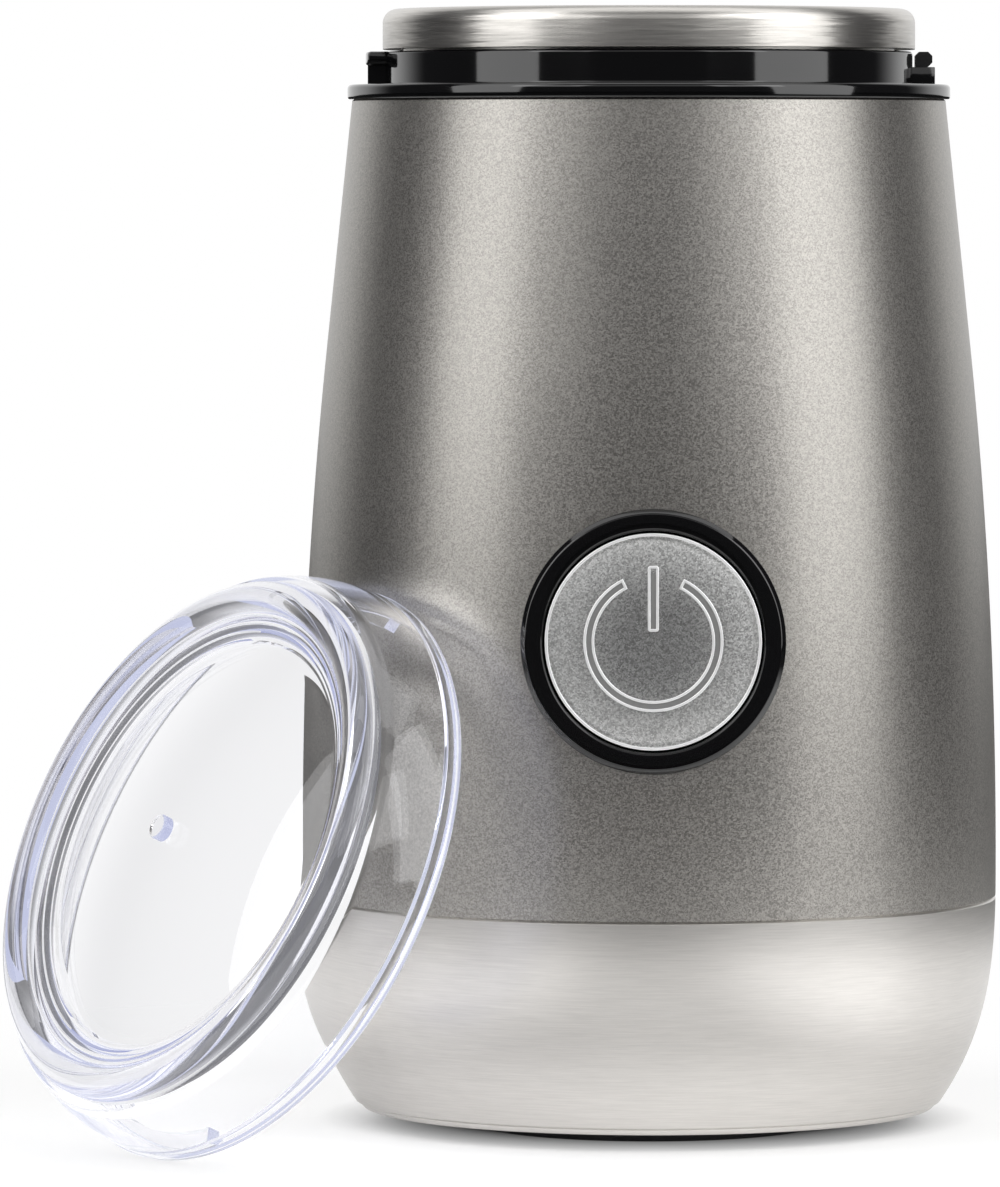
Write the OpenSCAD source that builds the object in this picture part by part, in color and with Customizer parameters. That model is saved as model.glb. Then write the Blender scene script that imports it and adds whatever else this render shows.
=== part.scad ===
// Electric spice grinder: a flared housing on a steel band, a lift-out steel cup with
// its blade unit, a universal motor hung on dampers below, a sprung start button, a lid
// interlock pin, and the clear lid standing against the housing.
// Origin: on the surface it stands on, under the motor axis. -Y is the button side, +Z is up.

/* [Housing] */
// Height of the steel band above the surface
foot_h = 2.6; // [2:0.1:5]
// Height of the steel band, from its bottom edge to the seam
band_h = 30.5; // [24:0.1:36]
// Height of the painted shell, from the seam to the flange
shell_h = 114.3; // [108:0.1:125]
// Height of the widest ring of the housing above the seam
bulge_rise = 5; // [2:0.5:10]
// How much further out the widest ring lies than the top of the shell
flare = 7.5; // [6:0.1:12]
// Height over which the shell bends before it runs straight
bend_h = 73.7; // [50:0.1:90]
// Wall of the painted shell
shell_wall = 2.4; // [1.6:0.1:3]
// How far the steel band draws in at its bottom edge
band_tuck = 8.6; // [6:0.1:11]
// Sheet thickness of the steel band
band_sheet = 0.8; // [0.5:0.1:1.2]
// Width of the lip that turns in under the band
band_lip = 3; // [2:0.1:5]
// Depth of the shell's spigot inside the band
seam_lap = 3.5; // [2:0.1:6]

/* [Base] */
// Thickness of the base plate
base_t = 3.1; // [2.5:0.1:5]
// Width of the rubber ring that the housing stands on
foot_w = 5; // [3:0.1:6]
// Gap between the rubber ring and the heads of the base screws
foot_gap = 5; // [0.8:0.1:6]
// Depth of the groove that holds the rubber ring
foot_pocket = 1.2; // [0.8:0.1:1.8]
// Distance from the axis to each base screw
post_ring_r = 33.5; // [32:0.1:34]
// Outer radius of a base screw post
post_r = 3.6; // [3:0.1:4]
// Radius of a base screw's shank
screw_r = 1.45; // [1.2:0.05:1.7]
// Height of the screw bosses inside the shell
boss_h = 10; // [7:0.5:12]
// Width of a cooling slot in the base plate
vent_w = 2.2; // [1.5:0.1:3]
// Number of cooling slots in the base plate
vent_count = 16; // [8:1:24]
// Height of the cord inlet above the band's bottom edge
inlet_rise = 11; // [9:0.5:15]
// Bore radius of the cord inlet
inlet_r = 3.5; // [2.5:0.1:4.5]

/* [Collar and flange] */
// Thickness of the flange that the lid stands on
flange_t = 2.1; // [1.5:0.1:3]
// How far the flange stands out past the top of the shell
flange_overhang = 0.7; // [0.3:0.1:1.5]
// How far the flange stands out past the closed lid
flange_margin = 0.5; // [0.3:0.1:1.5]
// Height of the neck above the flange
neck_h = 4.7; // [4.2:0.1:7]
// Thickness of the well floor under the cup
well_floor_t = 3; // [2:0.1:4]
// How far the lid lugs reach out from the neck
lug_reach = 2.8; // [2:0.1:4]
// Height of a lid lug
lug_h = 2; // [1.5:0.1:2.4]
// Length of a lid lug along the neck, in degrees
lug_sweep = 18; // [12:1:30]

/* [Cup] */
// Outer diameter of the cup's rolled rim
cup_rim_d = 76.3; // [70:0.1:90]
// Height of the rolled rim
rim_h = 5.8; // [4:0.1:8]
// Width of the roll between the rim and the cup wall
rim_roll = 2.95; // [2.6:0.05:4]
// How far the rim stands out past the neck
rim_overhang = 0.35; // [0.2:0.05:1]
// Inside depth of the cup
cup_depth = 44.8; // [35:0.1:50]
// Sheet thickness of the cup
cup_sheet = 0.8; // [0.5:0.1:1.2]
// Inside radius between the cup's wall and floor
cup_corner_r = 8; // [4:0.5:12]
// Height of the moulded base under the cup
cup_base_h = 10.4; // [9.5:0.1:14]

/* [Blade] */
// Length of each blade arm from the axis
blade_reach = 29; // [20:0.5:32]
// Width of a blade arm at its root
blade_w = 12; // [8:0.5:14]
// Thickness of the blade
blade_t = 1.2; // [0.8:0.1:2]
// Angle by which the blade tips are bent
tip_bend = 38; // [0:1:60]
// Radius of the blade shaft
blade_shaft_r = 3; // [2:0.1:3.5]

/* [Lid] */
// Wall of the lid at its open end
lid_wall = 1.6; // [1.2:0.05:2.5]
// Room between the lid and the tips of the lugs
lid_clear = 0.4; // [0.3:0.05:1]
// Height of the lid's rounded top ring above its open end
lid_h = 15.6; // [14.5:0.1:24]
// Radius of the rounded top ring's section
lid_ring_r = 2.4; // [1.6:0.1:3]
// Rise of the domed window above its rim
lid_dome = 4.2; // [1:0.1:6]
// Thickness of the window
lid_panel_t = 1.9; // [1.5:0.1:3]
// How far the lid stands round to the left of the front, in degrees
lid_turn = 53.9; // [45:0.1:80]
// How far the lid leans back from upright, in degrees
lid_lean = 23.8; // [15:0.1:35]
// Sideways offset of the lid from a straight lean
lid_shift = 2.5; // [-6:0.5:6]

/* [Button] */
// Height of the button's centre above the seam
button_rise = 39; // [30:0.5:55]
// Outer radius of the button's bezel
bezel_r = 18.4; // [15:0.1:22]
// Width of the bezel ring
bezel_w = 3.05; // [2.6:0.05:5]
// How far the bezel stands out from the shell
bezel_proud = 1; // [0.5:0.1:3]
// How far the cap stands out from the shell
cap_proud = 1.3; // [0.5:0.1:3]
// Travel of the button
button_travel = 2; // [1:0.1:2.5]
// Radius of the button's stem
stem_r = 3; // [2:0.1:4]

/* [Motor] */
// Width of the laminated stator
stator_w = 54; // [48:0.5:58]
// Depth of the laminated stator
stator_d = 44; // [40:0.5:46]
// Height of the stator stack
stator_h = 27; // [20:0.5:30]
// Radius of the armature
rotor_r = 15; // [12:0.1:15.5]
// Air gap between armature and stator
air_gap = 0.6; // [0.4:0.05:1]
// Radius of the motor shaft
shaft_r = 3; // [2.5:0.1:3.5]
// Radius of the commutator
commutator_r = 9; // [7:0.1:10]
// Radius of the cooling fan
fan_r = 17; // [14:0.1:17]
// Number of fan blades
fan_count = 9; // [5:1:13]
// Height of the coil ends above and below the stator
coil_over = 6; // [4:0.5:8]

/* [Interlock] */
// Travel of the interlock pin
pin_travel = 1.8; // [1:0.1:2]
// Width of the interlock pin along the neck
pin_w = 3; // [2:0.1:4]

/* [Fits] */
// Gap between separate moving bodies
part_gap = 0.3; // [0.2:0.05:0.5]
// Radial running fit of shafts and plungers
run_fit = 0.04; // [0.01:0.01:0.1]
// Radial slip fit of pieces that are assembled together
slip_fit = 0.1; // [0.05:0.05:0.2]
// Gap at faces that seat on each other with a curve
snug = 0.05; // [0.02:0.01:0.1]

/* [Hidden] */
$fn = 64;

// Radii, from the cup outwards
cup_rim_r = cup_rim_d / 2;
cup_r = cup_rim_r - rim_roll;
cup_in_r = cup_r - cup_sheet;
neck_r = cup_rim_r - rim_overhang;
cup_clear = 0.5;
well_r = cup_r + cup_clear;
lug_r = neck_r + lug_reach;
lid_in_r = lug_r + lid_clear;
lid_r = lid_in_r + lid_wall;
lid_bead = 0.1;
lid_bead_r = lid_r + lid_bead;
flange_r = lid_bead_r + flange_margin;
shell_top_r = flange_r - flange_overhang;

// Heights, from the floor upwards
band_z = foot_h;
seam_z = band_z + band_h;
bulge_z = seam_z + bulge_rise;
shell_top_z = seam_z + shell_h;
flange_top_z = shell_top_z + flange_t;
neck_top_z = flange_top_z + neck_h;
cup_skirt_z = neck_top_z + part_gap;
cup_top_z = cup_skirt_z + rim_h;
cup_floor_z = cup_top_z - cup_depth;
cup_under_z = cup_floor_z - cup_sheet;
cup_base_z = cup_under_z - cup_base_h;
well_floor_z = cup_base_z - part_gap;
well_under_z = well_floor_z - well_floor_t;

// Outer curve of the housing
flare_run = shell_top_z - bulge_z;
taper = atan(flare / (flare_run - bend_h / 2));
bend_r = bend_h / sin(taper);
bulge_r = shell_top_r + bend_h * tan(taper / 2) + (flare_run - bend_h) * tan(taper);
function shell_curve_r(z) = z - bulge_z < bend_h
    ? bulge_r - bend_r + sqrt(pow(bend_r, 2) - pow(z - bulge_z, 2))
    : shell_top_r + (shell_top_z - z) * tan(taper);
function band_curve_r(z) = bulge_r - band_tuck * pow((bulge_z - z) / (bulge_z - band_z), 3);
function body_r(z) = z > bulge_z ? shell_curve_r(z) : band_curve_r(z);
function between(a, b, n) = [for (i = [0:n]) a + (b - a) * i / n];
shell_zs = between(seam_z, shell_top_z, 20);
band_zs = between(band_z + 1.1, seam_z, 14);
function arc(cx, cy, r, a0, a1, n) = [for (a = between(a0, a1, n)) [cx + r * cos(a), cy + r * sin(a)]];

// Base
seam_r = body_r(seam_z);
band_edge_r = body_r(band_z) - 0.9;
base_z = band_z + 0.2;
base_top_z = base_z + base_t;
base_floor_r = band_edge_r - band_lip - slip_fit;
base_shoulder_r = band_edge_r - slip_fit;
post_angles = [30, 150, 270];
screw_head_r = 3;
screw_head_h = 1.8;
counterbore_h = 2.3;
foot_out_r = post_ring_r - screw_head_r - slip_fit - foot_gap;
foot_in_r = foot_out_r - foot_w;
vent_in_r = 9.5;
vent_len = foot_in_r - 4 - vent_in_r;
inlet_z = band_z + inlet_rise;
grommet_r = inlet_r + 1.7;
grommet_flange_r = inlet_r + 2.8;
inlet_wall_r = body_r(inlet_z);

// Lugs, guide posts and interlock pin
lug_z = neck_top_z - lug_h;
pin_in = 0.35;
pin_x = neck_r + pin_in;
pin_stem_t = 1.5;
pin_head_t = lug_r - pin_x;
pin_head_h = 2.15;
pin_head_z = neck_top_z - pin_head_h;
guide_gap = 0.3;
guide_t = 1.2;
spigot_h = 4;
spigot_r = shell_top_r - shell_wall - slip_fit;
pin_foot_z = well_floor_z + 14;
pin_foot_t = 1.6;
pin_foot_reach = 4.2;
spring_ledge_z = well_floor_z + 2.6;
ledge_t = 1.6;
lock_spring_r = 1.2;
lock_spring_wire = 0.4;
lock_spring_x = pin_x + pin_stem_t + lock_spring_r + 0.6;
pin_end_z = well_under_z - 0.4;
lock_switch_w = 12.8;
lock_switch_t = 6;
lock_switch_h = 8;
lock_plunger_r = 1;
lock_plunger_x = pin_x + pin_stem_t / 2;
lock_switch_x = lock_plunger_x - 4.2;
lock_plunger_top = pin_end_z - part_gap;
lock_switch_top = lock_plunger_top - pin_travel - 1.2;
switch_arm_t = 2;

// Cup and blade unit
cup_outer_corner = cup_corner_r + cup_sheet;
corner_x = cup_in_r - cup_corner_r;
corner_z = cup_floor_z + cup_corner_r;
cup_base_r = cup_r - 0.3;
cup_base_wrap = 2.8;
key_w = 5;
key_depth = 1.8;
key_angles = [60, 180, 300];
coupler_r = 10;
coupler_cavity_r = coupler_r + 2.5;
dog_in_r = 5.5;
dog_w = 3.6;
dog_count = 4;
coupler_disc_t = 2;
dog_h = 3.6;
bushing_r = 5.5;
bushing_flange_r = 7.5;
bushing_flange_t = 1.3;
seal_r = 6;
seal_t = 1.8;
seal_z = cup_floor_z + bushing_flange_t;
blade_hub_r = 5;
blade_hub_z = seal_z + seal_t + part_gap;
blade_hub_t = 1.6;
blade_z = blade_hub_z + blade_hub_t;
nut_z = blade_z + blade_t;
nut_h = 4.6;
drive_dog_z = well_floor_z + snug;
driven_dog_z = cup_base_z + 0.1;
driven_disc_z = driven_dog_z + dog_h + 0.4;

// Motor, hung from the well floor
mount_boss_h = 3;
mount_boss_r = 5;
mount_x = 28;
damper_h = 4;
damper_r = 4.5;
plate_t = 2;
plate_top_z = well_under_z - mount_boss_h - damper_h;
plate_z = plate_top_z - plate_t;
bearing_h = 5;
bearing_r = 8;
bearing_wall = 1.3;
bearing_z = plate_z - bearing_h;
fan_h = 5.5;
fan_hub_r = shaft_r + 4;
vane_r = 0.82 * fan_r;
vane_t = 1;
fan_z = bearing_z - 1.2 - fan_h;
stator_top_z = fan_z - 1.5 - coil_over;
stator_z = stator_top_z - stator_h;
coil_t = 3.9;
coil_side = 6.7;
yoke_x = 5;
yoke_y = 4.5;
pole_half_w = 7;
bore_r = rotor_r + air_gap;
leg_y = stator_d / 2 - yoke_y / 2 - plate_t / 2;
leg_w = 14;
leg_foot_w = 30;
bolt_x = 11;
bolt_r = 1.5;
bolt_head_r = 2.6;
bolt_head_h = 1.8;
low_gap = 16.5;
low_plate_top_z = stator_z - coil_over - low_gap;
low_plate_z = low_plate_top_z - plate_t;
commutator_h = 9;
commutator_z = stator_z - coil_over - 2 - commutator_h;
brush_w = 5;
brush_h = 6;
brush_wall = 1;
riser_h = 1.6;
brush_z = commutator_z + (commutator_h - riser_h) / 2;
holder_len = 12;
shaft_low_z = low_plate_z - 1.5;
shaft_top_z = drive_dog_z - 0.3;

// Button, along the -Y axis
button_z = seam_z + button_rise;
button_tilt = atan((body_r(button_z - bezel_r) - body_r(button_z + bezel_r)) / (2 * bezel_r));
face_y = (body_r(button_z - bezel_r) + body_r(button_z + bezel_r)) / 2;
bezel_in_r = bezel_r - bezel_w;
cap_r = bezel_in_r - part_gap;
barrel_r = bezel_in_r + 1.55;
barrel_back = face_y - 10.35;
cap_t = 2.4;
cap_front = face_y + cap_proud;
cap_back = cap_front - cap_t;
cap_skirt = 1.5;
cap_skirt_back = cap_back - 3.4;
guide_disc_t = 2;
guide_back = barrel_back - guide_disc_t;
guide_front = barrel_back + 2.5;
stem_back = guide_back - 0.7;
plunger_r = 1.5;
plunger_front = stem_back - part_gap;
switch_front = plunger_front - button_travel - 0.1;
switch_w = 20;
switch_h = 10;
switch_d = 6;
switch_back = switch_front - switch_d;
spring_r = 7;
spring_wire = 0.8;

// Lid, in its own frame: open end at 0, window up
lid_rib_z = 0.3;
lid_rib_h = 1.9;
lid_rib_in_r = neck_r + 1.2;
lid_rib_sweep = 38;
lid_ring_z = lid_h - lid_ring_r;
lid_ring_mid_r = cup_rim_r - 1.85;
lid_shoulder_r = lid_ring_mid_r + lid_ring_r + 1.3;
lid_shoulder_z = lid_ring_z - 0.9;
lid_ceiling_z = lid_ring_z - lid_panel_t - 0.2;
window_r = lid_ring_mid_r - lid_ring_r - 2;
window_z = lid_ceiling_z + lid_panel_t;
lid_edge_r = 0.45;
lid_edge_c = lid_bead_r - lid_edge_r;
lid_up = lid_edge_c * cos(lid_lean) + lid_edge_r * (1 - sin(lid_lean));
lid_touch_z = lid_up + lid_edge_c * cos(lid_lean) + lid_edge_r * sin(lid_lean);
lid_out = body_r(lid_touch_z) + part_gap + lid_edge_c * sin(lid_lean) + lid_edge_r * (1 - cos(lid_lean));

// Solids that other modules share

module ring(r_out, r_in, h) {
    rotate_extrude() translate([r_in, 0]) square([r_out - r_in, h]);
}

// Section through everything inside the housing's outer curve, grown by a clearance
module body_outline(zs, clearance) {
    polygon(concat([[0, zs[0]]], [for (z = zs) [body_r(z) + clearance, z]], [[0, zs[len(zs) - 1]]]));
}

// The button's own frame: +Z points out of the shell, d is counted from the axis at its centre
module along_front(d) {
    translate([0, -face_y, button_z]) rotate([90 - button_tilt, 0, 0])
        translate([0, 0, d - face_y]) children();
}

module rounded_box(w, d, h, r) {
    linear_extrude(h) rounded_rect(w, d, r);
}

module rounded_rect(w, d, r) {
    x = w / 2 - r;
    y = d / 2 - r;
    square([w, d - 2 * r], center = true);
    square([w - 2 * r, d], center = true);
    for (sx = [-1, 1], sy = [-1, 1]) translate([sx * x, sy * y]) circle(r, $fn = 24);
}

module sector(r, half_angle) {
    polygon(concat([[0, 0]], arc(0, 0, r, -half_angle, half_angle, 6)));
}

// Ring sector from r_in to r_out, centred on +X
module ring_sector(r_out, r_in, sweep, h) {
    rotate([0, 0, -sweep / 2]) rotate_extrude(angle = sweep) translate([r_in, 0]) square([r_out - r_in, h]);
}

// Round wire wound from z = 0 to z = length
module coil_spring(mean_r, wire, length, turns) {
    sides = 6;
    steps = turns * 16;
    rise = (length - wire) / steps;
    points = [for (i = [0:steps], s = [0:sides - 1])
        let (a = i * 360 / 16, b = s * 360 / sides, r = mean_r + wire / 2 * cos(b))
        [r * cos(a), r * sin(a), wire / 2 + i * rise + wire / 2 * sin(b)]];
    sheath = [for (i = [0:steps - 1], s = [0:sides - 1])
        let (t = (s + 1) % sides, p = i * sides, q = p + sides)
        [p + s, q + s, q + t, p + t]];
    start_cap = [[for (s = [0:sides - 1]) s]];
    end_cap = [[for (s = [sides - 1:-1:0]) steps * sides + s]];
    polyhedron(points, concat(sheath, start_cap, end_cap), convexity = 10);
}

// Housing

module shell_screw_boss() {
    rib_t = 2.2;
    translate([post_ring_r, 0, seam_z]) cylinder(r = post_r, h = boss_h);
    translate([post_ring_r, -rib_t / 2, seam_z]) cube([seam_r - post_ring_r - shell_wall / 2, rib_t, boss_h]);
}

module body_shell() {
    lip_r = body_r(seam_z - seam_lap) - band_sheet - slip_fit;
    outer = [for (z = shell_zs) [body_r(z), z]];
    inner = [for (i = [len(shell_zs) - 1:-1:0]) [body_r(shell_zs[i]) - shell_wall, shell_zs[i]]];
    lip = [[seam_r - shell_wall, seam_z - seam_lap], [lip_r, seam_z - seam_lap], [lip_r, seam_z]];
    color("dimgray") difference() {
        union() {
            rotate_extrude($fn = 96) polygon(concat(outer, inner, lip));
            for (a = post_angles) rotate([0, 0, a]) shell_screw_boss();
        }
        along_front(barrel_back) cylinder(r = barrel_r + slip_fit, h = bulge_r);
        for (a = post_angles) rotate([0, 0, a]) translate([post_ring_r, 0, seam_z - 1])
            cylinder(r = screw_r + snug, h = boss_h - 1);
    }
}

module base_band() {
    edge = arc(band_edge_r, band_z + 0.9, 0.9, -90, -8, 4);
    outer = [for (z = band_zs) [body_r(z), z]];
    inner = [for (i = [len(band_zs) - 1:-1:0]) [body_r(band_zs[i]) - band_sheet, band_zs[i]]];
    lip_in = band_edge_r - band_lip;
    under = [[band_edge_r, band_z + band_sheet], [lip_in, band_z + band_sheet], [lip_in, band_z]];
    color("lightgray") difference() {
        rotate_extrude($fn = 96) polygon(concat(edge, outer, inner, under));
        translate([0, 0, inlet_z]) rotate([-90, 0, 0]) cylinder(r = grommet_r + snug, h = bulge_r + 1);
    }
}

module vent_ring() {
    for (i = [0:vent_count - 1]) rotate([0, 0, (i + 0.5) * 360 / vent_count])
        translate([vent_in_r + vent_len / 2, 0]) rounded_rect(vent_len, vent_w, vent_w / 2 - 0.01);
}

module base_plate() {
    shoulder_z = band_z + band_sheet;
    post_top = seam_z - slip_fit;
    color("#1b1b1c") difference() {
        union() {
            translate([0, 0, base_z]) cylinder(r = base_floor_r, h = base_t);
            translate([0, 0, shoulder_z]) cylinder(r = base_shoulder_r, h = base_top_z - shoulder_z);
            for (a = post_angles) rotate([0, 0, a]) translate([post_ring_r, 0, shoulder_z])
                cylinder(r = post_r, h = post_top - shoulder_z);
        }
        for (a = post_angles) rotate([0, 0, a]) translate([post_ring_r, 0, base_z - 1]) {
            cylinder(r = screw_r + slip_fit, h = post_top - base_z + 2);
            cylinder(r = screw_head_r + slip_fit, h = counterbore_h + 1);
        }
        translate([0, 0, base_z - 1]) difference() {
            cylinder(r = foot_out_r + snug, h = foot_pocket + 1);
            translate([0, 0, -1]) cylinder(r = foot_in_r - snug, h = foot_pocket + 3);
        }
        translate([0, 0, base_z - 1]) linear_extrude(base_t + 2) vent_ring();
    }
}

module foot_ring() {
    edge = 0.8;
    top_z = base_z + foot_pocket;
    color("#202022") rotate_extrude($fn = 96) polygon([
        [foot_in_r + edge, 0], [foot_out_r - edge, 0], [foot_out_r, edge], [foot_out_r, top_z],
        [foot_in_r, top_z], [foot_in_r, edge]
    ]);
}

module base_screws() {
    head_z = base_z + counterbore_h - screw_head_h;
    tip_z = seam_z + boss_h - 3;
    color("silver") for (a = post_angles) rotate([0, 0, a]) translate([post_ring_r, 0, head_z]) difference() {
        union() {
            cylinder(r = screw_head_r, h = screw_head_h);
            cylinder(r = screw_r, h = tip_z - head_z);
        }
        for (b = [0, 90]) rotate([0, 0, b]) translate([-1.8, -0.4, -1]) cube([3.6, 0.8, 1.9]);
    }
}

module cord_grommet() {
    out = inlet_wall_r + 1.1;
    in = inlet_wall_r - 4;
    color("#18181a") translate([0, 0, inlet_z]) rotate([-90, 0, 0]) difference() {
        union() {
            translate([0, 0, in]) cylinder(r = grommet_r, h = out - in);
            difference() {
                translate([0, 0, in]) cylinder(r = grommet_flange_r, h = out - in);
                rotate([90, 0, 0]) translate([0, 0, -inlet_z])
                    rotate_extrude($fn = 96) body_outline(band_zs, snug);
            }
        }
        translate([0, 0, in - 1]) cylinder(r = inlet_r, h = out - in + 2);
    }
}

// Collar with the cup well, the lid lugs and the interlock guides

module lug_section() {
    c = 0.6;
    w = lug_reach;
    polygon([
        [neck_r - 0.5, 0], [neck_r + w - c, 0], [neck_r + w, c], [neck_r + w, lug_h - c],
        [neck_r + w - c, lug_h], [neck_r - 0.5, lug_h]
    ]);
}

module collar_profile() {
    e = 0.7;
    polygon([
        [well_r, well_under_z], [neck_r, well_under_z], [neck_r, shell_top_z - spigot_h],
        [spigot_r, shell_top_z - spigot_h], [spigot_r, shell_top_z], [flange_r - 0.4, shell_top_z],
        [flange_r, shell_top_z + 0.4], [flange_r, flange_top_z - e],
        [flange_r - 0.3 * e, flange_top_z - 0.3 * e], [flange_r - e, flange_top_z],
        [neck_r, flange_top_z], [neck_r, neck_top_z - 0.4], [neck_r - 0.4, neck_top_z],
        [well_r, neck_top_z]
    ]);
}

module collar() {
    floor_hole_r = coupler_r + 3.5;
    pin_slot_w = pin_w + 2 * guide_gap;
    color("#101012") difference() {
        union() {
            rotate_extrude($fn = 96) collar_profile();
            translate([0, 0, well_under_z]) ring(well_r + 0.5, floor_hole_r, well_floor_t);
            for (a = key_angles) rotate([0, 0, a])
                translate([well_r - key_depth, -key_w / 2, well_floor_z - 1]) cube([key_depth + 1, key_w, 7]);
            left_lug();
            for (s = [-1, 1]) scale([1, s, 1]) {
                guide_post();
                guide_rail();
                switch_arm();
            }
            spring_ledge();
            for (s = [-1, 1]) translate([s * mount_x, 0, well_under_z - mount_boss_h])
                cylinder(r = mount_boss_r, h = mount_boss_h + 1);
        }
        translate([neck_r + 0.05, -pin_slot_w / 2, shell_top_z - spigot_h - 1])
            cube([lug_r - neck_r + guide_gap, pin_slot_w, spigot_h + flange_t + 2]);
        for (s = [-1, 1]) translate([s * mount_x, 0, well_under_z - mount_boss_h - 1])
            cylinder(r = screw_r + snug, h = mount_boss_h + well_floor_t - 0.5);
    }
}

// Bayonet lug on the left with its end stop
module left_lug() {
    stop_sweep = 4;
    rotate([0, 0, 180 - lug_sweep / 2]) {
        translate([0, 0, lug_z]) rotate_extrude(angle = lug_sweep, $fn = 96) lug_section();
        translate([0, 0, flange_top_z - 0.2]) rotate([0, 0, stop_sweep / 2])
            ring_sector(neck_r + lug_reach - 0.3, neck_r - 0.5, stop_sweep, lug_z - flange_top_z + 0.4);
    }
}

// Post beside the interlock pin, standing on the flange
module guide_post() {
    y = pin_w / 2 + guide_gap;
    translate([neck_r - 0.5, y, flange_top_z - 0.2])
        cube([lug_reach + 0.8, guide_t + 0.4, pin_head_z - flange_top_z + 0.15]);
}

// Rail on the outside of the well that guides the pin
module guide_rail() {
    y = pin_w / 2 + guide_gap;
    translate([neck_r - 0.5, y, well_under_z])
        cube([pin_stem_t + pin_in + 0.5, guide_t, shell_top_z - well_under_z - 1]);
}

// Arm under the well floor with a hook below the interlock switch
module switch_arm() {
    y = lock_switch_w / 2 + snug;
    hook = 1.4;
    z0 = lock_switch_top - lock_switch_h - snug - hook;
    translate([lock_switch_x, y, z0]) cube([well_r - lock_switch_x, switch_arm_t, well_under_z - z0 + 0.5]);
    translate([lock_switch_x, y - 1.5, z0]) cube([well_r - lock_switch_x, 2, hook]);
}

module spring_ledge() {
    x1 = lock_spring_x + lock_spring_r + 0.9;
    x0 = pin_x + pin_stem_t + guide_gap;
    for (s = [-1, 1]) scale([1, s, 1])
        translate([neck_r - 0.3, pin_w / 2 + guide_gap, spring_ledge_z - ledge_t])
        cube([x1 - neck_r + 0.3, guide_t, ledge_t]);
    translate([x0, -pin_w / 2 - guide_gap - guide_t, spring_ledge_z - ledge_t])
        cube([x1 - x0, pin_w + 2 * (guide_gap + guide_t), ledge_t]);
}

// Button group

module bezel_section() {
    front = face_y + bezel_proud;
    polygon([
        [bezel_in_r, barrel_back], [bezel_in_r, front - 0.5], [bezel_in_r + 0.35, front - 0.1],
        [bezel_in_r + 0.7, front], [bezel_r - 1.1, front - 0.25], [bezel_r - 0.4, front - 0.8],
        [bezel_r, front - 1.6], [bezel_r, barrel_back + 2], [bezel_r - 0.5, barrel_back]
    ]);
}

module button_bezel() {
    color("#0d0d0e") union() {
        difference() {
            along_front(0) rotate_extrude() bezel_section();
            rotate_extrude($fn = 96) body_outline(shell_zs, snug);
        }
        along_front(barrel_back) ring(barrel_r, bezel_in_r, face_y - barrel_back + 0.3);
    }
}

module button_cap() {
    skirt_h = cap_back - cap_skirt_back;
    c = 0.45;
    color("#8d8e90") along_front(cap_skirt_back) rotate_extrude() polygon([
        [0, skirt_h], [cap_r - cap_skirt, skirt_h], [cap_r - cap_skirt, 0], [cap_r, 0],
        [cap_r, skirt_h + cap_t - c], [cap_r - 0.3 * c, skirt_h + cap_t - 0.3 * c],
        [cap_r - c, skirt_h + cap_t], [0, skirt_h + cap_t]
    ]);
}

module button_stem() {
    color("#55565a") along_front(stem_back) cylinder(r = stem_r, h = cap_back - stem_back);
}

module button_spring() {
    color("silver") along_front(barrel_back)
        coil_spring(spring_r, spring_wire, cap_back - barrel_back - snug, 5);
}

module switch_bracket() {
    arm_x = switch_w / 2 + snug;
    arm_t = 1.6;
    hook = 1.5;
    arm_h = 7;
    color("#29292c") difference() {
        union() {
            along_front(guide_back) cylinder(r = barrel_r, h = guide_disc_t);
            along_front(guide_back) cylinder(r = stem_r + 1.8, h = guide_front - guide_back);
            for (s = [-1, 1]) scale([s, 1, 1]) along_front(switch_back - snug - hook) {
                translate([arm_x, -arm_h / 2, 0])
                    cube([arm_t, arm_h, guide_back - switch_back + hook + snug + 0.5]);
                translate([arm_x - hook, -arm_h / 2, 0]) cube([hook + arm_t, arm_h, hook]);
            }
        }
        along_front(guide_back - 1) cylinder(r = stem_r + run_fit, h = guide_front - guide_back + 2);
    }
}

module start_switch() {
    lug_t = 0.8;
    color("#30415c") difference() {
        union() {
            along_front(switch_back) translate([-switch_w / 2, -switch_h / 2, 0])
                cube([switch_w, switch_h, switch_d]);
            for (x = [-6, 0, 6]) along_front(switch_back + 1) translate([x - 1.5, -switch_h / 2 - 3, 0])
                cube([3, 4, lug_t]);
        }
        along_front(switch_front - 5.4) cylinder(r = plunger_r + run_fit, h = 6);
    }
}

module start_plunger() {
    color("#b3382c") along_front(plunger_front - 5) cylinder(r = plunger_r, h = 5);
}

// Interlock

module interlock_pin() {
    c = 0.6;
    h = pin_head_h;
    color("#161618") union() {
        translate([pin_x, pin_w / 2, pin_head_z]) rotate([90, 0, 0]) linear_extrude(pin_w) polygon([
            [c, 0], [pin_head_t - c, 0], [pin_head_t, c], [pin_head_t, h - c],
            [pin_head_t - c, h], [c, h], [0, h - c], [0, c]
        ]);
        translate([pin_x, -pin_w / 2, pin_end_z]) cube([pin_stem_t, pin_w, pin_head_z + 1 - pin_end_z]);
        translate([pin_x, -pin_w / 2, pin_foot_z]) cube([pin_foot_reach, pin_w, pin_foot_t]);
    }
}

module interlock_spring() {
    color("silver") translate([lock_spring_x, 0, spring_ledge_z])
        coil_spring(lock_spring_r, lock_spring_wire, pin_foot_z - spring_ledge_z - snug, 7);
}

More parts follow.
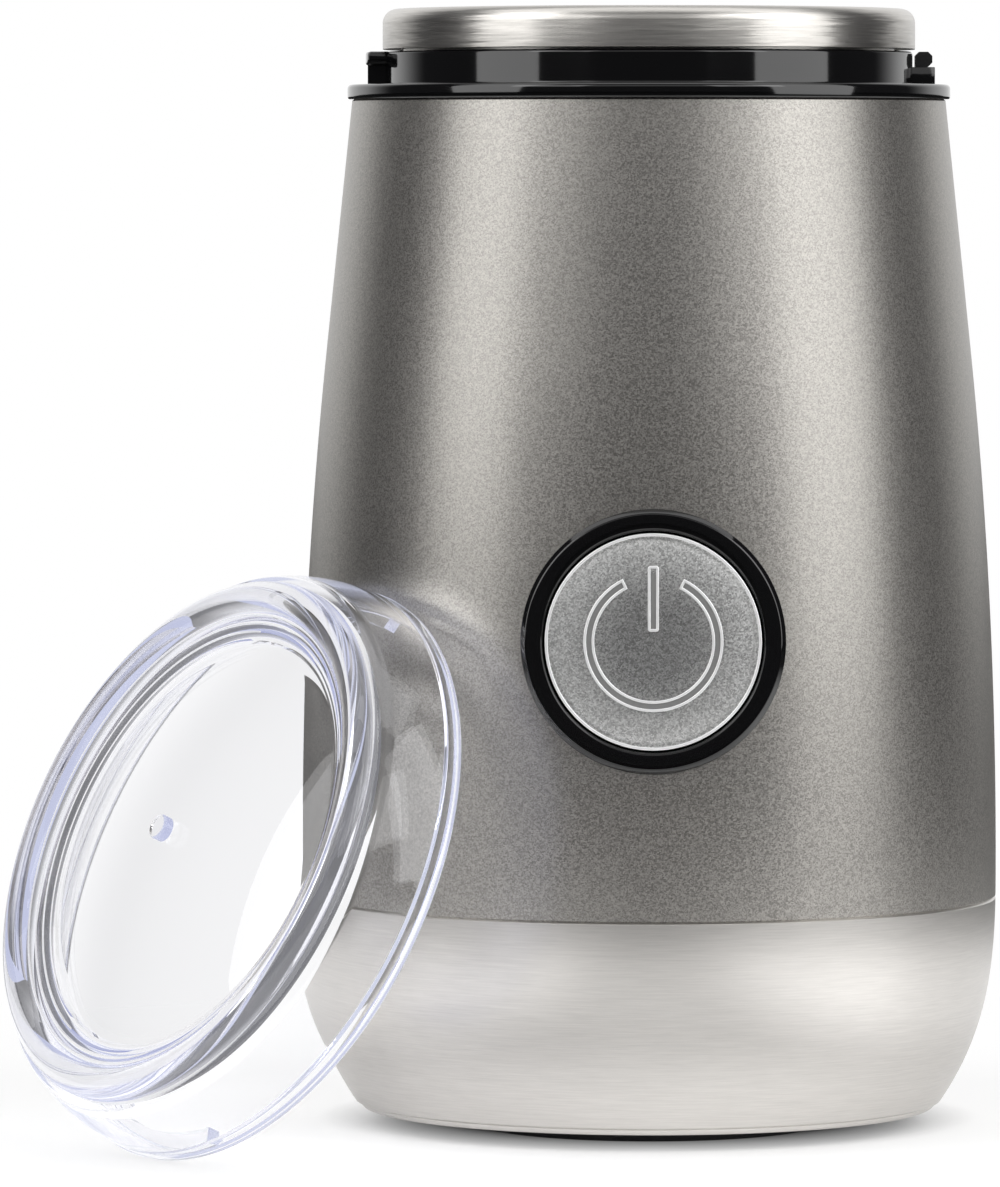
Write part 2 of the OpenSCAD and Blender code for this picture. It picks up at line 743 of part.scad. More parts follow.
module interlock_switch() {
    z0 = lock_switch_top - lock_switch_h;
    color("#30415c") difference() {
        union() {
            translate([lock_switch_x, -lock_switch_w / 2, z0])
                cube([lock_switch_t, lock_switch_w, lock_switch_h]);
            for (y = [-3, 3]) translate([lock_switch_x + 2, y - 1, z0 - 2.5]) cube([0.8, 2, 3]);
        }
        translate([lock_plunger_x, 0, lock_switch_top - 5]) cylinder(r = lock_plunger_r + run_fit, h = 6);
    }
}

module interlock_plunger() {
    h = lock_plunger_top - lock_switch_top + 2.6;
    color("#b3382c") translate([lock_plunger_x, 0, lock_plunger_top - h]) cylinder(r = lock_plunger_r, h = h);
}

// Motor

module bracket_foot(s) {
    y0 = stator_d / 2 - yoke_y + 0.1;
    translate([-leg_foot_w / 2, s > 0 ? y0 : -stator_d / 2, 0]) cube([leg_foot_w, yoke_y - 0.1, plate_t]);
}

module bolt_holes(z0, h) {
    for (sx = [-1, 1], sy = [-1, 1])
        translate([sx * bolt_x, sy * (stator_d - yoke_y) / 2, z0]) cylinder(r = bolt_r + snug, h = h);
}

module motor_bracket_top() {
    arm_w = 16;
    tab_x = mount_x + damper_r - 0.5;
    color("#b9bbbd") difference() {
        union() {
            translate([0, 0, plate_z]) rounded_box(2 * tab_x, arm_w, plate_t, 3);
            translate([0, 0, plate_z]) rounded_box(leg_w, 2 * (leg_y + plate_t), plate_t, 2);
            for (s = [-1, 1]) {
                translate([-leg_w / 2, s > 0 ? leg_y : -leg_y - plate_t, stator_top_z])
                    cube([leg_w, plate_t, plate_z - stator_top_z + 0.5]);
                translate([0, 0, stator_top_z]) bracket_foot(s);
            }
            translate([0, 0, bearing_z]) cylinder(r = bearing_r + bearing_wall, h = bearing_h + 0.5);
        }
        translate([0, 0, bearing_z - 1]) cylinder(r = bearing_r + snug, h = bearing_h + 1);
        translate([0, 0, bearing_z - 1]) cylinder(r = shaft_r + 2.5, h = bearing_h + plate_t + 2);
        for (s = [-1, 1]) translate([s * mount_x, 0, plate_z - 1])
            cylinder(r = screw_r + slip_fit, h = plate_t + 2);
        bolt_holes(stator_top_z - 1, plate_t + 2);
    }
}

module motor_bracket_bottom() {
    low_bearing_r = bearing_r - 1.5;
    color("#b9bbbd") difference() {
        union() {
            translate([0, 0, low_plate_z]) rounded_box(leg_w, 2 * (leg_y + plate_t), plate_t, 2);
            translate([0, 0, low_plate_z])
                rounded_box(2 * (commutator_r + holder_len), 12, plate_t, 2);
            for (s = [-1, 1]) {
                translate([-leg_w / 2, s > 0 ? leg_y : -leg_y - plate_t, low_plate_z + 0.5])
                    cube([leg_w, plate_t, stator_z - low_plate_z - 0.5]);
                translate([0, 0, stator_z - plate_t]) bracket_foot(s);
            }
            translate([0, 0, low_plate_z])
                cylinder(r = low_bearing_r + bearing_wall, h = bearing_h + plate_t);
        }
        translate([0, 0, low_plate_top_z]) cylinder(r = low_bearing_r + snug, h = bearing_h + 1);
        translate([0, 0, low_plate_z - 1]) cylinder(r = shaft_r + 1.5, h = bearing_h + plate_t + 2);
        bolt_holes(stator_z - plate_t - 1, plate_t + 2);
    }
}

module motor_bolts() {
    top = stator_top_z + plate_t;
    low = stator_z - plate_t;
    color("silver") for (sx = [-1, 1], sy = [-1, 1])
        translate([sx * bolt_x, sy * (stator_d - yoke_y) / 2, 0]) {
        translate([0, 0, low - bolt_head_h - 1]) cylinder(r = bolt_r, h = top - low + bolt_head_h + 1.5);
        translate([0, 0, top]) cylinder(r = bolt_head_r, h = bolt_head_h);
        translate([0, 0, low - bolt_head_h]) cylinder(r = bolt_head_r, h = bolt_head_h, $fn = 6);
    }
}

module motor_dampers() {
    waist = 0.8;
    color("#1d1d1f") for (s = [-1, 1]) translate([s * mount_x, 0, plate_top_z]) rotate_extrude() polygon([
        [screw_r + slip_fit, 0], [damper_r, 0], [damper_r, 1.2], [damper_r - waist, damper_h / 2],
        [damper_r, damper_h - 1.2], [damper_r, damper_h], [screw_r + slip_fit, damper_h]
    ]);
}

module mount_screws() {
    top = well_under_z + well_floor_t - 2;
    color("silver") for (s = [-1, 1]) translate([s * mount_x, 0, plate_z - screw_head_h]) {
        cylinder(r = screw_head_r, h = screw_head_h);
        cylinder(r = screw_r, h = top - plate_z + screw_head_h);
    }
}

module stator_outline() {
    window_w = stator_w - 2 * yoke_x;
    window_d = stator_d - 2 * yoke_y;
    difference() {
        rounded_rect(stator_w, stator_d, 6);
        difference() {
            rounded_rect(window_w, window_d, 4);
            for (s = [-1, 1]) scale([s, 1]) {
                translate([bore_r - 2, -pole_half_w]) square([window_w / 2 - bore_r + 3, 2 * pole_half_w]);
                intersection() {
                    circle(bore_r + 2.1);
                    sector(stator_w, 48);
                }
            }
        }
        circle(bore_r);
        for (sx = [-1, 1], sy = [-1, 1]) translate([sx * bolt_x, sy * (stator_d - yoke_y) / 2])
            circle(bolt_r + snug);
    }
}

module stator_core() {
    color("#8b8d90") translate([0, 0, stator_z]) linear_extrude(stator_h) stator_outline();
}

module field_coils() {
    inner_w = 2 * pole_half_w + 0.6;
    inner_h = stator_h + 0.6;
    x = stator_w / 2 - yoke_x - coil_t - 0.1;
    color("#b5652a") for (s = [-1, 1]) translate([s > 0 ? x : -x - coil_t, 0, stator_z + stator_h / 2])
        rotate([90, 0, 90]) linear_extrude(coil_t) difference() {
            rounded_rect(inner_w + 2 * coil_side, stator_h + 2 * coil_over, 5);
            rounded_rect(inner_w, inner_h, 1);
        }
}

module bearing(r_out, h) {
    groove = 0.5;
    race = 0.38 * (r_out - shaft_r);
    rotate_extrude() polygon([
        [shaft_r + run_fit, 0], [shaft_r + race, 0], [shaft_r + race, groove], [r_out - race, groove],
        [r_out - race, 0], [r_out, 0], [r_out, h], [r_out - race, h], [r_out - race, h - groove],
        [shaft_r + race, h - groove], [shaft_r + race, h], [shaft_r + run_fit, h]
    ]);
}

module upper_bearing() {
    color("lightsteelblue") translate([0, 0, bearing_z]) bearing(bearing_r, bearing_h);
}

module lower_bearing() {
    color("lightsteelblue") translate([0, 0, low_plate_top_z]) bearing(bearing_r - 1.5, bearing_h);
}

module brush_holder() {
    x0 = commutator_r + 1.2;
    w = brush_w + 2 * brush_wall;
    h = brush_h + 2 * brush_wall;
    difference() {
        union() {
            translate([x0, -w / 2, brush_z - h / 2]) cube([holder_len, w, h]);
            translate([x0 + 3, -w / 2, low_plate_top_z]) cube([holder_len - 5, w, brush_z - low_plate_top_z]);
        }
        translate([x0 - 1, -brush_w / 2 - snug, brush_z - brush_h / 2 - snug])
            cube([holder_len + 2, brush_w + 2 * snug, brush_h + 2 * snug]);
    }
}

module brush_holders() {
    color("#6b4a2e") for (a = [0, 180]) rotate([0, 0, a]) brush_holder();
}

module carbon_brushes() {
    x0 = commutator_r + part_gap;
    color("#2b2b2d") for (a = [0, 180]) rotate([0, 0, a]) translate([x0, -brush_w / 2, brush_z - brush_h / 2])
        cube([holder_len - 1.5, brush_w, brush_h]);
}

module terminal_block() {
    w = 26;
    d = 9;
    h = 8;
    cells = 3;
    pitch = w / cells;
    y = 22;
    color("#e6e2d6") difference() {
        translate([-w / 2, y, base_top_z]) cube([w, d, h]);
        for (i = [0:cells - 1]) translate([-w / 2 + (i + 0.5) * pitch, y + d / 2, base_top_z]) {
            translate([0, 0, h - 2.5]) cylinder(r = 2, h = 3);
            translate([0, -d, h / 2 - 1]) rotate([-90, 0, 0]) cylinder(r = 1.6, h = 2 * d);
        }
        for (i = [1:cells - 1]) translate([-w / 2 + i * pitch - 0.5, y - 1, base_top_z + 2.5])
            cube([1, d + 2, h]);
    }
}

// Rotor

module rotor_shaft() {
    color("gainsboro") translate([0, 0, shaft_low_z]) cylinder(r = shaft_r, h = shaft_top_z - shaft_low_z);
}

module rotor_core() {
    slots = 12;
    slot_w = 2;
    color("#8b8d90") translate([0, 0, stator_z]) linear_extrude(stator_h) difference() {
        circle(rotor_r);
        circle(shaft_r);
        for (i = [0:slots - 1]) rotate([0, 0, i * 360 / slots]) {
            translate([rotor_r - 2, -0.6]) square([3, 1.2]);
            translate([rotor_r - 7, -slot_w / 2]) square([5.5, slot_w]);
        }
    }
}

module winding_end(h) {
    rotate_extrude() polygon([
        [shaft_r + 1.5, 0], [rotor_r - 1.2, 0], [rotor_r - 1.6, h - 2], [rotor_r - 4, h],
        [shaft_r + 4, h], [shaft_r + 1.5, h - 1.5]
    ]);
}

module armature_windings() {
    h = coil_over - 1;
    color("#c47436") {
        translate([0, 0, stator_top_z]) winding_end(h);
        translate([0, 0, stator_z]) mirror([0, 0, 1]) winding_end(h);
    }
}

module commutator() {
    bars = 12;
    color("#b87333") translate([0, 0, commutator_z]) difference() {
        union() {
            cylinder(r = commutator_r, h = commutator_h);
            translate([0, 0, commutator_h - riser_h]) cylinder(r = commutator_r + 0.9, h = riser_h);
            cylinder(r = shaft_r + 2, h = stator_z - coil_over + 1 - commutator_z);
        }
        translate([0, 0, -1]) cylinder(r = shaft_r, h = commutator_h + coil_over);
        for (i = [0:bars - 1]) rotate([0, 0, i * 360 / bars])
            translate([commutator_r - 0.7, -0.2, -1]) cube([3, 0.4, commutator_h + 2]);
    }
}

module fan_blade() {
    intersection() {
        translate([0.24 * fan_r, -0.53 * fan_r, 0]) difference() {
            cylinder(r = vane_r, h = fan_h);
            translate([0, 0, -1]) cylinder(r = vane_r - vane_t, h = fan_h + 2);
        }
        translate([fan_hub_r - 0.5, 0, 0]) cube([fan_r - fan_hub_r, fan_r, fan_h]);
        cylinder(r = fan_r, h = fan_h);
    }
}

module cooling_fan() {
    color("#d8d3c4") translate([0, 0, fan_z]) difference() {
        union() {
            cylinder(r = fan_hub_r, h = fan_h);
            cylinder(r = fan_r, h = vane_t + 0.2);
            for (i = [0:fan_count - 1]) rotate([0, 0, i * 360 / fan_count]) fan_blade();
        }
        translate([0, 0, -1]) cylinder(r = shaft_r, h = fan_h + 2);
    }
}

module dog_ring(h) {
    for (i = [0:dog_count - 1]) rotate([0, 0, i * 360 / dog_count]) intersection() {
        translate([dog_in_r, -dog_w / 2, 0]) cube([coupler_r, dog_w, h]);
        cylinder(r = coupler_r, h = h);
    }
}

module drive_coupler() {
    disc_z = drive_dog_z - coupler_disc_t;
    hub_z = disc_z - 3;
    color("#232325") difference() {
        union() {
            translate([0, 0, hub_z]) cylinder(r = shaft_r + 3, h = 3.5);
            translate([0, 0, disc_z]) cylinder(r = coupler_r, h = coupler_disc_t);
            translate([0, 0, drive_dog_z - 0.5]) dog_ring(dog_h + 0.5);
        }
        translate([0, 0, hub_z - 1]) cylinder(r = shaft_r, h = shaft_top_z - hub_z + 1);
    }
}

// Cup and blade unit

module cup_profile() {
    r1 = 2;
    r2 = 1.2;
    s = cup_sheet;
    rim_in = arc(cup_in_r + r2, cup_top_z - r2, r2, 90, 180, 5);
    floor_in = arc(corner_x, corner_z, cup_corner_r, 0, -90, 8);
    floor_out = arc(corner_x, corner_z, cup_outer_corner, -90, 0, 8);
    roll_in = [[cup_r, cup_top_z - s - 1], [cup_r + 0.6, cup_top_z - s]];
    skirt_in = arc(cup_rim_r - r1, cup_top_z - r1, r1 - s, 90, 0, 4);
    skirt = [[cup_rim_r - s, cup_skirt_z], [cup_rim_r, cup_skirt_z]];
    rim_out = arc(cup_rim_r - r1, cup_top_z - r1, r1, 0, 90, 6);
    hole = bushing_r + snug;
    polygon(concat(
        skirt, rim_out, rim_in, floor_in, [[hole, cup_floor_z], [hole, cup_under_z]], floor_out,
        roll_in, skirt_in
    ));
}

module grinding_cup() {
    color("silver") rotate_extrude($fn = 96) cup_profile();
}

module cup_base() {
    wrap_z = cup_under_z + cup_base_wrap;
    wrap_r = cup_outer_corner + snug;
    wrap_a = acos((corner_z - wrap_z) / wrap_r);
    seat = [for (t = between(wrap_a, 0, 5)) [corner_x + wrap_r * sin(t), corner_z - wrap_r * cos(t)]];
    color("#1a1a1c") difference() {
        rotate_extrude($fn = 96) polygon(concat(
            [[coupler_cavity_r, cup_base_z], [cup_base_r - 0.8, cup_base_z], [cup_base_r, cup_base_z + 0.8],
            [cup_base_r, wrap_z]],
            seat,
            [[bushing_r + snug, cup_under_z - snug], [bushing_r + snug, cup_under_z - 3.2],
            [coupler_cavity_r, cup_under_z - 3.2]]
        ));
        for (a = key_angles) rotate([0, 0, a])
            translate([well_r - key_depth - part_gap, -key_w / 2 - part_gap, cup_base_z - 1])
            cube([key_depth + 3, key_w + 2 * part_gap, 7.6]);
    }
}

module shaft_bushing() {
    low = cup_under_z - 3.2;
    color("#a8763c") difference() {
        union() {
            translate([0, 0, low]) cylinder(r = bushing_r, h = seal_z - low);
            translate([0, 0, cup_floor_z]) cylinder(r = bushing_flange_r, h = bushing_flange_t);
        }
        translate([0, 0, low - 1]) cylinder(r = blade_shaft_r + run_fit, h = seal_z - low + 2);
    }
}

module shaft_seal() {
    color("#2a2a2c") translate([0, 0, seal_z]) rotate_extrude() polygon([
        [blade_shaft_r + run_fit, 0], [seal_r, 0], [seal_r, seal_t - 0.8], [seal_r - 0.8, seal_t],
        [blade_shaft_r + run_fit, seal_t]
    ]);
}

module blade_outline() {
    tip_w = blade_w * 0.45;
    polygon(concat(
        [[0, -blade_w / 2], [0, blade_w / 2]],
        [for (t = between(0, 1, 6)) [blade_hub_r + (blade_reach * 0.66 - blade_hub_r) * t,
            blade_w / 2 - (blade_w / 2 - tip_w) * t * t]],
        [[blade_reach * 0.66, -tip_w / 2], [blade_hub_r, -blade_w / 2]]
    ));
}

module blade_arm(bend) {
    tip_w = blade_w * 0.45;
    root = blade_reach * 0.66;
    run = (blade_reach - root) / cos(bend);
    linear_extrude(blade_t) blade_outline();
    translate([root, 0, blade_t / 2]) rotate([0, -bend, 0]) translate([-0.4, 0, -blade_t / 2])
        linear_extrude(blade_t) polygon([
            [0, -tip_w / 2], [run * 0.6, -tip_w / 2], [run * 0.95, 0], [run * 0.8, tip_w], [0, tip_w]
        ]);
}

module blade() {
    color("whitesmoke") translate([0, 0, blade_z]) difference() {
        union() {
            cylinder(r = blade_w / 2 + 0.5, h = blade_t);
            blade_arm(tip_bend);
            rotate([0, 0, 180]) blade_arm(tip_bend * 0.35);
        }
        translate([0, 0, -1]) cylinder(r = blade_shaft_r - 0.5, h = blade_t + 2);
    }
}

module blade_shaft() {
    low = driven_disc_z;
    color("gainsboro") union() {
        translate([0, 0, low]) cylinder(r = blade_shaft_r, h = blade_hub_z - low + 0.5);
        translate([0, 0, blade_hub_z]) cylinder(r = blade_hub_r, h = blade_hub_t);
        translate([0, 0, blade_hub_z])
            cylinder(r = blade_shaft_r - 0.5, h = blade_hub_t + blade_t + nut_h - 1.5);
    }
}

module blade_nut() {
    flats = 4.2;
    color("whitesmoke") translate([0, 0, nut_z]) difference() {
        union() {
            cylinder(r = flats, h = nut_h - 1.6, $fn = 6);
            rotate_extrude() polygon([
                [0, 0], [3.4, 0], [3.4, nut_h - 1.4], [2.6, nut_h - 0.4], [1.2, nut_h], [0, nut_h]
            ]);
        }
        translate([0, 0, -1]) cylinder(r = blade_shaft_r - 0.5 + snug, h = nut_h - 0.4);
    }
}

module driven_coupler() {
    color("#232325") difference() {
        union() {
            translate([0, 0, driven_disc_z]) cylinder(r = coupler_r, h = coupler_disc_t);
            rotate([0, 0, 180 / dog_count]) translate([0, 0, driven_dog_z])
                dog_ring(driven_disc_z - driven_dog_z + 0.5);
        }
        translate([0, 0, driven_disc_z - 1]) cylinder(r = blade_shaft_r, h = coupler_disc_t + 2);
    }
}

// Lid

// Outer radius of the lid's skirt at a height above its open end
function lid_skirt_r(z) = lid_r - (lid_r - lid_shoulder_r) * pow(z / lid_shoulder_z, 2.4);

module lid_profile() {
    e = lid_edge_r;
    bead_z = 1.5;
    dome_r = (pow(window_r, 2) + pow(lid_dome, 2)) / (2 * lid_dome);
    dome_a = asin(window_r / dome_r);
    out_top = window_z + lid_dome;
    in_top = out_top - lid_panel_t;
    outside = concat(
        arc(lid_bead_r - e, e, e, -90, 0, 3), [[lid_bead_r, bead_z - 0.3]],
        [for (z = between(bead_z, lid_shoulder_z, 8)) [lid_skirt_r(z), z]],
        [[lid_shoulder_r - 0.4, lid_shoulder_z + 0.35], [lid_ring_mid_r + lid_ring_r, lid_ring_z - 0.3]]
    );
    top_ring = arc(lid_ring_mid_r, lid_ring_z, lid_ring_r, 0, 180, 12);
    recess = [[lid_ring_mid_r - lid_ring_r, window_z + 0.5], [lid_ring_mid_r - lid_ring_r - 0.5, window_z]];
    window_out = [for (a = between(dome_a, 0, 10)) [dome_r * sin(a), out_top - dome_r * (1 - cos(a))]];
    window_in = [for (a = between(0, dome_a, 10)) [dome_r * sin(a), in_top - dome_r * (1 - cos(a))]];
    corner_z = lid_ceiling_z - 0.6;
    inside = concat(
        [[lid_skirt_r(corner_z) - lid_wall - 0.8, lid_ceiling_z]],
        [for (z = between(corner_z, 0, 8)) [lid_skirt_r(z) - lid_wall, z]]
    );
    polygon(concat(outside, top_ring, recess, window_out, window_in, inside));
}

module lid() {
    nib_r = 1.8;
    nib_h = 1.5;
    color([0.85, 0.87, 0.95, 0.35]) place_lid() union() {
        rotate_extrude($fn = 96) lid_profile();
        for (a = [0, 180]) rotate([0, 0, a]) translate([0, 0, lid_rib_z])
            ring_sector(lid_in_r + 0.5, lid_rib_in_r, lid_rib_sweep, lid_rib_h);
        translate([0, 0, window_z + lid_dome - 0.5]) cylinder(r = nib_r, h = nib_h + 0.5);
    }
}

// Moves the lid from its own frame to where it leans against the housing
module place_lid() {
    a = -90 - lid_turn;
    translate([lid_out * cos(a) + lid_shift * sin(a), lid_out * sin(a) - lid_shift * cos(a), lid_up])
        rotate([0, 90 - lid_lean, a]) children();
}

body_shell();
base_band();
base_plate();
foot_ring();
base_screws();
cord_grommet();
collar();
motor_bracket_top();
motor_bracket_bottom();
motor_bolts();
motor_dampers();
mount_screws();
stator_core();
field_coils();
upper_bearing();
lower_bearing();
brush_holders();
carbon_brushes();
terminal_block();
button_bezel();
switch_bracket();
start_switch();
start_plunger();
button_cap();
button_stem();
button_spring();
interlock_pin();
interlock_spring();
interlock_switch();
interlock_plunger();
rotor_shaft();
rotor_core();
armature_windings();
commutator();
cooling_fan();
drive_coupler();
grinding_cup();
cup_base();
shaft_bushing();
shaft_seal();
blade();
blade_shaft();
blade_nut();
driven_coupler();
lid();
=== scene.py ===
"""Dresses the electric spice grinder.

A flared housing in metallic flake paint stands on a brushed steel band. Above it are a glossy
black collar and a lift-out steel cup. A frosted start button sits in a black bezel, and the
clear lid leans against the left of the housing.

Sizes and outlines are in millimetres, and meshes are turned to metres once, when a piece is
made. Z is the motor's axis, and the front faces -Y. The studio's lengths are in metres.
"""

import logging
import math
from collections.abc import Iterable, Sequence
from dataclasses import dataclass, field
from enum import Enum

import bmesh
import bpy
from mathutils import Matrix, Vector

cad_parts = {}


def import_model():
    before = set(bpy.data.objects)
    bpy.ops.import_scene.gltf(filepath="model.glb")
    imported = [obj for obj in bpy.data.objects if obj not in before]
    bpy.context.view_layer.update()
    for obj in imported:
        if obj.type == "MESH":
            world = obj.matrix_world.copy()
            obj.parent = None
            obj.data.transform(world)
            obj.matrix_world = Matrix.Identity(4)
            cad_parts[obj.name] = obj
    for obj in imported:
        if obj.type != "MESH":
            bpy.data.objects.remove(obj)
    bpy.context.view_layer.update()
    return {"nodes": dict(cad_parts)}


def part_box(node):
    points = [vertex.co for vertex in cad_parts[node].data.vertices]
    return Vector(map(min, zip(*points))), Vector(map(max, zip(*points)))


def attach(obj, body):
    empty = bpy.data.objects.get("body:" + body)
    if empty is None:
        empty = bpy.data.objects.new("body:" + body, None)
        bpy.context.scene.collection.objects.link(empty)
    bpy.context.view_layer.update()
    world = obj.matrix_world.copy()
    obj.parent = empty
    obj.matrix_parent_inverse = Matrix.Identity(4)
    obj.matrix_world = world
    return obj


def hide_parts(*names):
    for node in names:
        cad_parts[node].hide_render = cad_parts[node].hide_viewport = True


MM = 0.001
IMAGE_WIDTH = 1000
IMAGE_HEIGHT = 1187
LOG = logging.getLogger("grinder")
WHITE = "ffffff"

Point = tuple[float, float]
Corner = tuple[float, float, float]
Levels = dict[str, bpy.types.NodeSocket]


class Body(Enum):
    """The bodies that pieces ride on."""

    HOUSING = "housing"
    BUTTON = "button"
    CUP = "cup"
    LID = "lid_body"


class Joining(Enum):
    """How a tool changes the piece that it is combined with."""

    CUT = "DIFFERENCE"
    WELD = "UNION"


class Side(Enum):
    """The two sides of the pin's slot, as a sign along Y."""

    FRONT = -1
    BACK = 1


# Colour and shader nodes


def linear(hex_code: str) -> tuple[float, float, float, float]:
    """Turn an sRGB colour into the linear one that shaders take.

    Args:
        hex_code: six hex digits, such as "c9c5bf".

    Returns:
        Linear red, green, blue and an alpha of 1.
    """
    channels = [int(hex_code[i : i + 2], 16) / 255 for i in (0, 2, 4)]
    out = [c / 12.92 if c <= 0.04045 else ((c + 0.055) / 1.055) ** 2.4 for c in channels]
    return (out[0], out[1], out[2], 1.0)


def per_metre(size_mm: float) -> float:
    """Give the texture scale at which one cell of a pattern measures size_mm."""
    return 1 / (size_mm * MM)


def add_node(
    tree: bpy.types.NodeTree, kind: str, inputs: dict[str | int, object] | None = None, **settings: object
) -> bpy.types.Node:
    """Add one node with its settings and its links.

    Args:
        tree: the material's or world's node tree.
        kind: the node's type, such as "ShaderNodeTexNoise".
        inputs: socket name or number to the value it holds or the output it takes.
        settings: the node's own settings.

    Returns:
        The new node.
    """
    node = tree.nodes.new(kind)
    for name, value in settings.items():
        setattr(node, name, value)
    for socket, source in (inputs or {}).items():
        if isinstance(source, bpy.types.NodeSocket):
            tree.links.new(source, node.inputs[socket])
        else:
            node.inputs[socket].default_value = source
    return node


@dataclass(frozen=True)
class Fade:
    """A level that changes while the value it follows goes from a start to an end.

    Attributes:
        start: value at which the change starts.
        end: value at which it ends.
        bottom: level before the start.
        top: level after the end.
    """

    start: float
    end: float
    bottom: float = 0.0
    top: float = 1.0

    def along(self, value: bpy.types.NodeSocket) -> dict[str, object]:
        """Give what the sockets of a Map Range node take to fade along a value."""
        span = {"From Min": self.start, "From Max": self.end}
        return {"Value": value, **span, "To Min": self.bottom, "To Max": self.top}


# Finishes


@dataclass(frozen=True)
class Finish:
    """A moulded or cast surface with a fine grain, and what every finish shares.

    Attributes:
        name: the material's common name and how its surface was made.
        slot: the record's material slot, which is not used.
        colour: sRGB hex of the surface.
        roughness: roughness of the smooth surface.
        metallic: how much it mirrors as a metal does.
        ior: how much it bends light.
        grain_mm: width of one grain.
        grain_depth_mm: depth of the grain.
        shade: how far the colour varies from grain to grain, as a share.
        roughness_shade: how far the roughness varies, as a share.
        coat: weight of a clear lacquer.
        coat_roughness: roughness of that lacquer.
    """

    name: str
    slot: str
    colour: str
    roughness: float = 0.4
    metallic: float = 0.0
    ior: float = 1.5
    grain_mm: float = 0.5
    grain_depth_mm: float = 0.01
    shade: float = 0.06
    roughness_shade: float = 0.12
    coat: float = 0.0
    coat_roughness: float = 0.12

    def material(self) -> bpy.types.Material:
        """Give the finish's material, which is made the first time it is asked for.

        Returns:
            The material.
        """
        found = bpy.data.materials.get(self.name)
        if found:
            return found
        material = bpy.data.materials.new(self.name)
        material.use_nodes = True
        tree = material.node_tree
        shader = tree.nodes["Principled BSDF"]
        shader.inputs["Metallic"].default_value = self.metallic
        shader.inputs["IOR"].default_value = self.ior
        shader.inputs["Coat Weight"].default_value = self.coat
        shader.inputs["Coat Roughness"].default_value = self.coat_roughness
        self.dress(tree, shader)
        return material

    def dress(self, tree: bpy.types.NodeTree, shader: bpy.types.Node) -> None:
        """Add the grain: soft cells that shade the colour, the roughness and the relief.

        Args:
            tree: the material's node tree.
            shader: its main shader.
        """
        place = add_node(tree, "ShaderNodeTexCoord").outputs["Object"]
        cells = {"Vector": place, "Scale": per_metre(self.grain_mm), "Detail": 3.0, "Roughness": 0.6}
        grain = add_node(tree, "ShaderNodeTexNoise", cells).outputs["Fac"]
        self.shade_by(tree, shader, grain)
        self.emboss(tree, shader, grain, self.grain_depth_mm)

    def shade_by(
        self, tree: bpy.types.NodeTree, shader: bpy.types.Node, pattern: bpy.types.NodeSocket
    ) -> None:
        """Vary the colour and the roughness with a pattern.

        Args:
            tree: the material's node tree.
            shader: its main shader.
            pattern: the pattern, from 0 to 1.
        """
        base = linear(self.colour)[:3]
        dark = (*(c * (1 - self.shade) for c in base), 1.0)
        light = (*(min(1.0, c * (1 + self.shade)) for c in base), 1.0)
        mix = add_node(tree, "ShaderNodeMix", {0: pattern, 6: dark, 7: light}, data_type="RGBA")
        tree.links.new(mix.outputs[2], shader.inputs["Base Color"])
        smooth = self.roughness * (1 - self.roughness_shade)
        rough = min(1.0, self.roughness * (1 + self.roughness_shade))
        spread = add_node(tree, "ShaderNodeMapRange", Fade(0.0, 1.0, smooth, rough).along(pattern))
        tree.links.new(spread.outputs["Result"], shader.inputs["Roughness"])

    def emboss(
        self,
        tree: bpy.types.NodeTree,
        shader: bpy.types.Node,
        height: bpy.types.NodeSocket,
        depth_mm: float,
    ) -> bpy.types.Node:
        """Give the surface a relief.

        Args:
            tree: the material's node tree.
            shader: its main shader.
            height: the relief, from 0 to 1.
            depth_mm: how deep it is.

        Returns:
            The relief's node.
        """
        relief = {"Height": height, "Distance": depth_mm * MM, "Strength": 1.0}
        bump = add_node(tree, "ShaderNodeBump", relief)
        tree.links.new(bump.outputs["Normal"], shader.inputs["Normal"])
        return bump

    @staticmethod
    def lean(
        tree: bpy.types.NodeTree, random: bpy.types.NodeSocket, share: float
    ) -> bpy.types.NodeSocket:
        """Lean the surface's normal at random.

        Args:
            tree: the material's node tree.
            random: three random numbers from 0 to 1 for each place.
            share: how far the normal leans, as a share of its length.

        Returns:
            The leaning normal.
        """
        kind = "ShaderNodeVectorMath"
        centred = add_node(tree, kind, {0: random, 1: (0.5, 0.5, 0.5)}, operation="SUBTRACT")
        offset = add_node(tree, kind, {0: centred.outputs[0], "Scale": share}, operation="SCALE")
        normal = add_node(tree, "ShaderNodeNewGeometry").outputs["Normal"]
        tilted = add_node(tree, kind, {0: normal, 1: offset.outputs[0]}, operation="ADD")
        return add_node(tree, kind, {0: tilted.outputs[0]}, operation="NORMALIZE").outputs[0]


@dataclass(frozen=True)
class FlakePaint(Finish):
    """Sprayed paint with aluminium flakes that lie at slightly different tilts.

    Attributes:
        flake_mm: width of a flake.
        tilt: how far a flake leans out of the surface, as a share of its normal.
    """

    flake_mm: float = 0.2
    tilt: float = 0.3

    def dress(self, tree: bpy.types.NodeTree, shader: bpy.types.Node) -> None:
        """Add one random tilt and shade for each flake.

        Args:
            tree: the material's node tree.
            shader: its main shader.
        """
        place = add_node(tree, "ShaderNodeTexCoord").outputs["Object"]
        flakes = add_node(tree, "ShaderNodeTexVoronoi", {"Vector": place, "Scale": per_metre(self.flake_mm)})
        random = flakes.outputs["Color"]
        tree.links.new(self.lean(tree, random, self.tilt), shader.inputs["Normal"])
        red = add_node(tree, "ShaderNodeSeparateColor", {"Color": random}).outputs["Red"]
        self.shade_by(tree, shader, red)


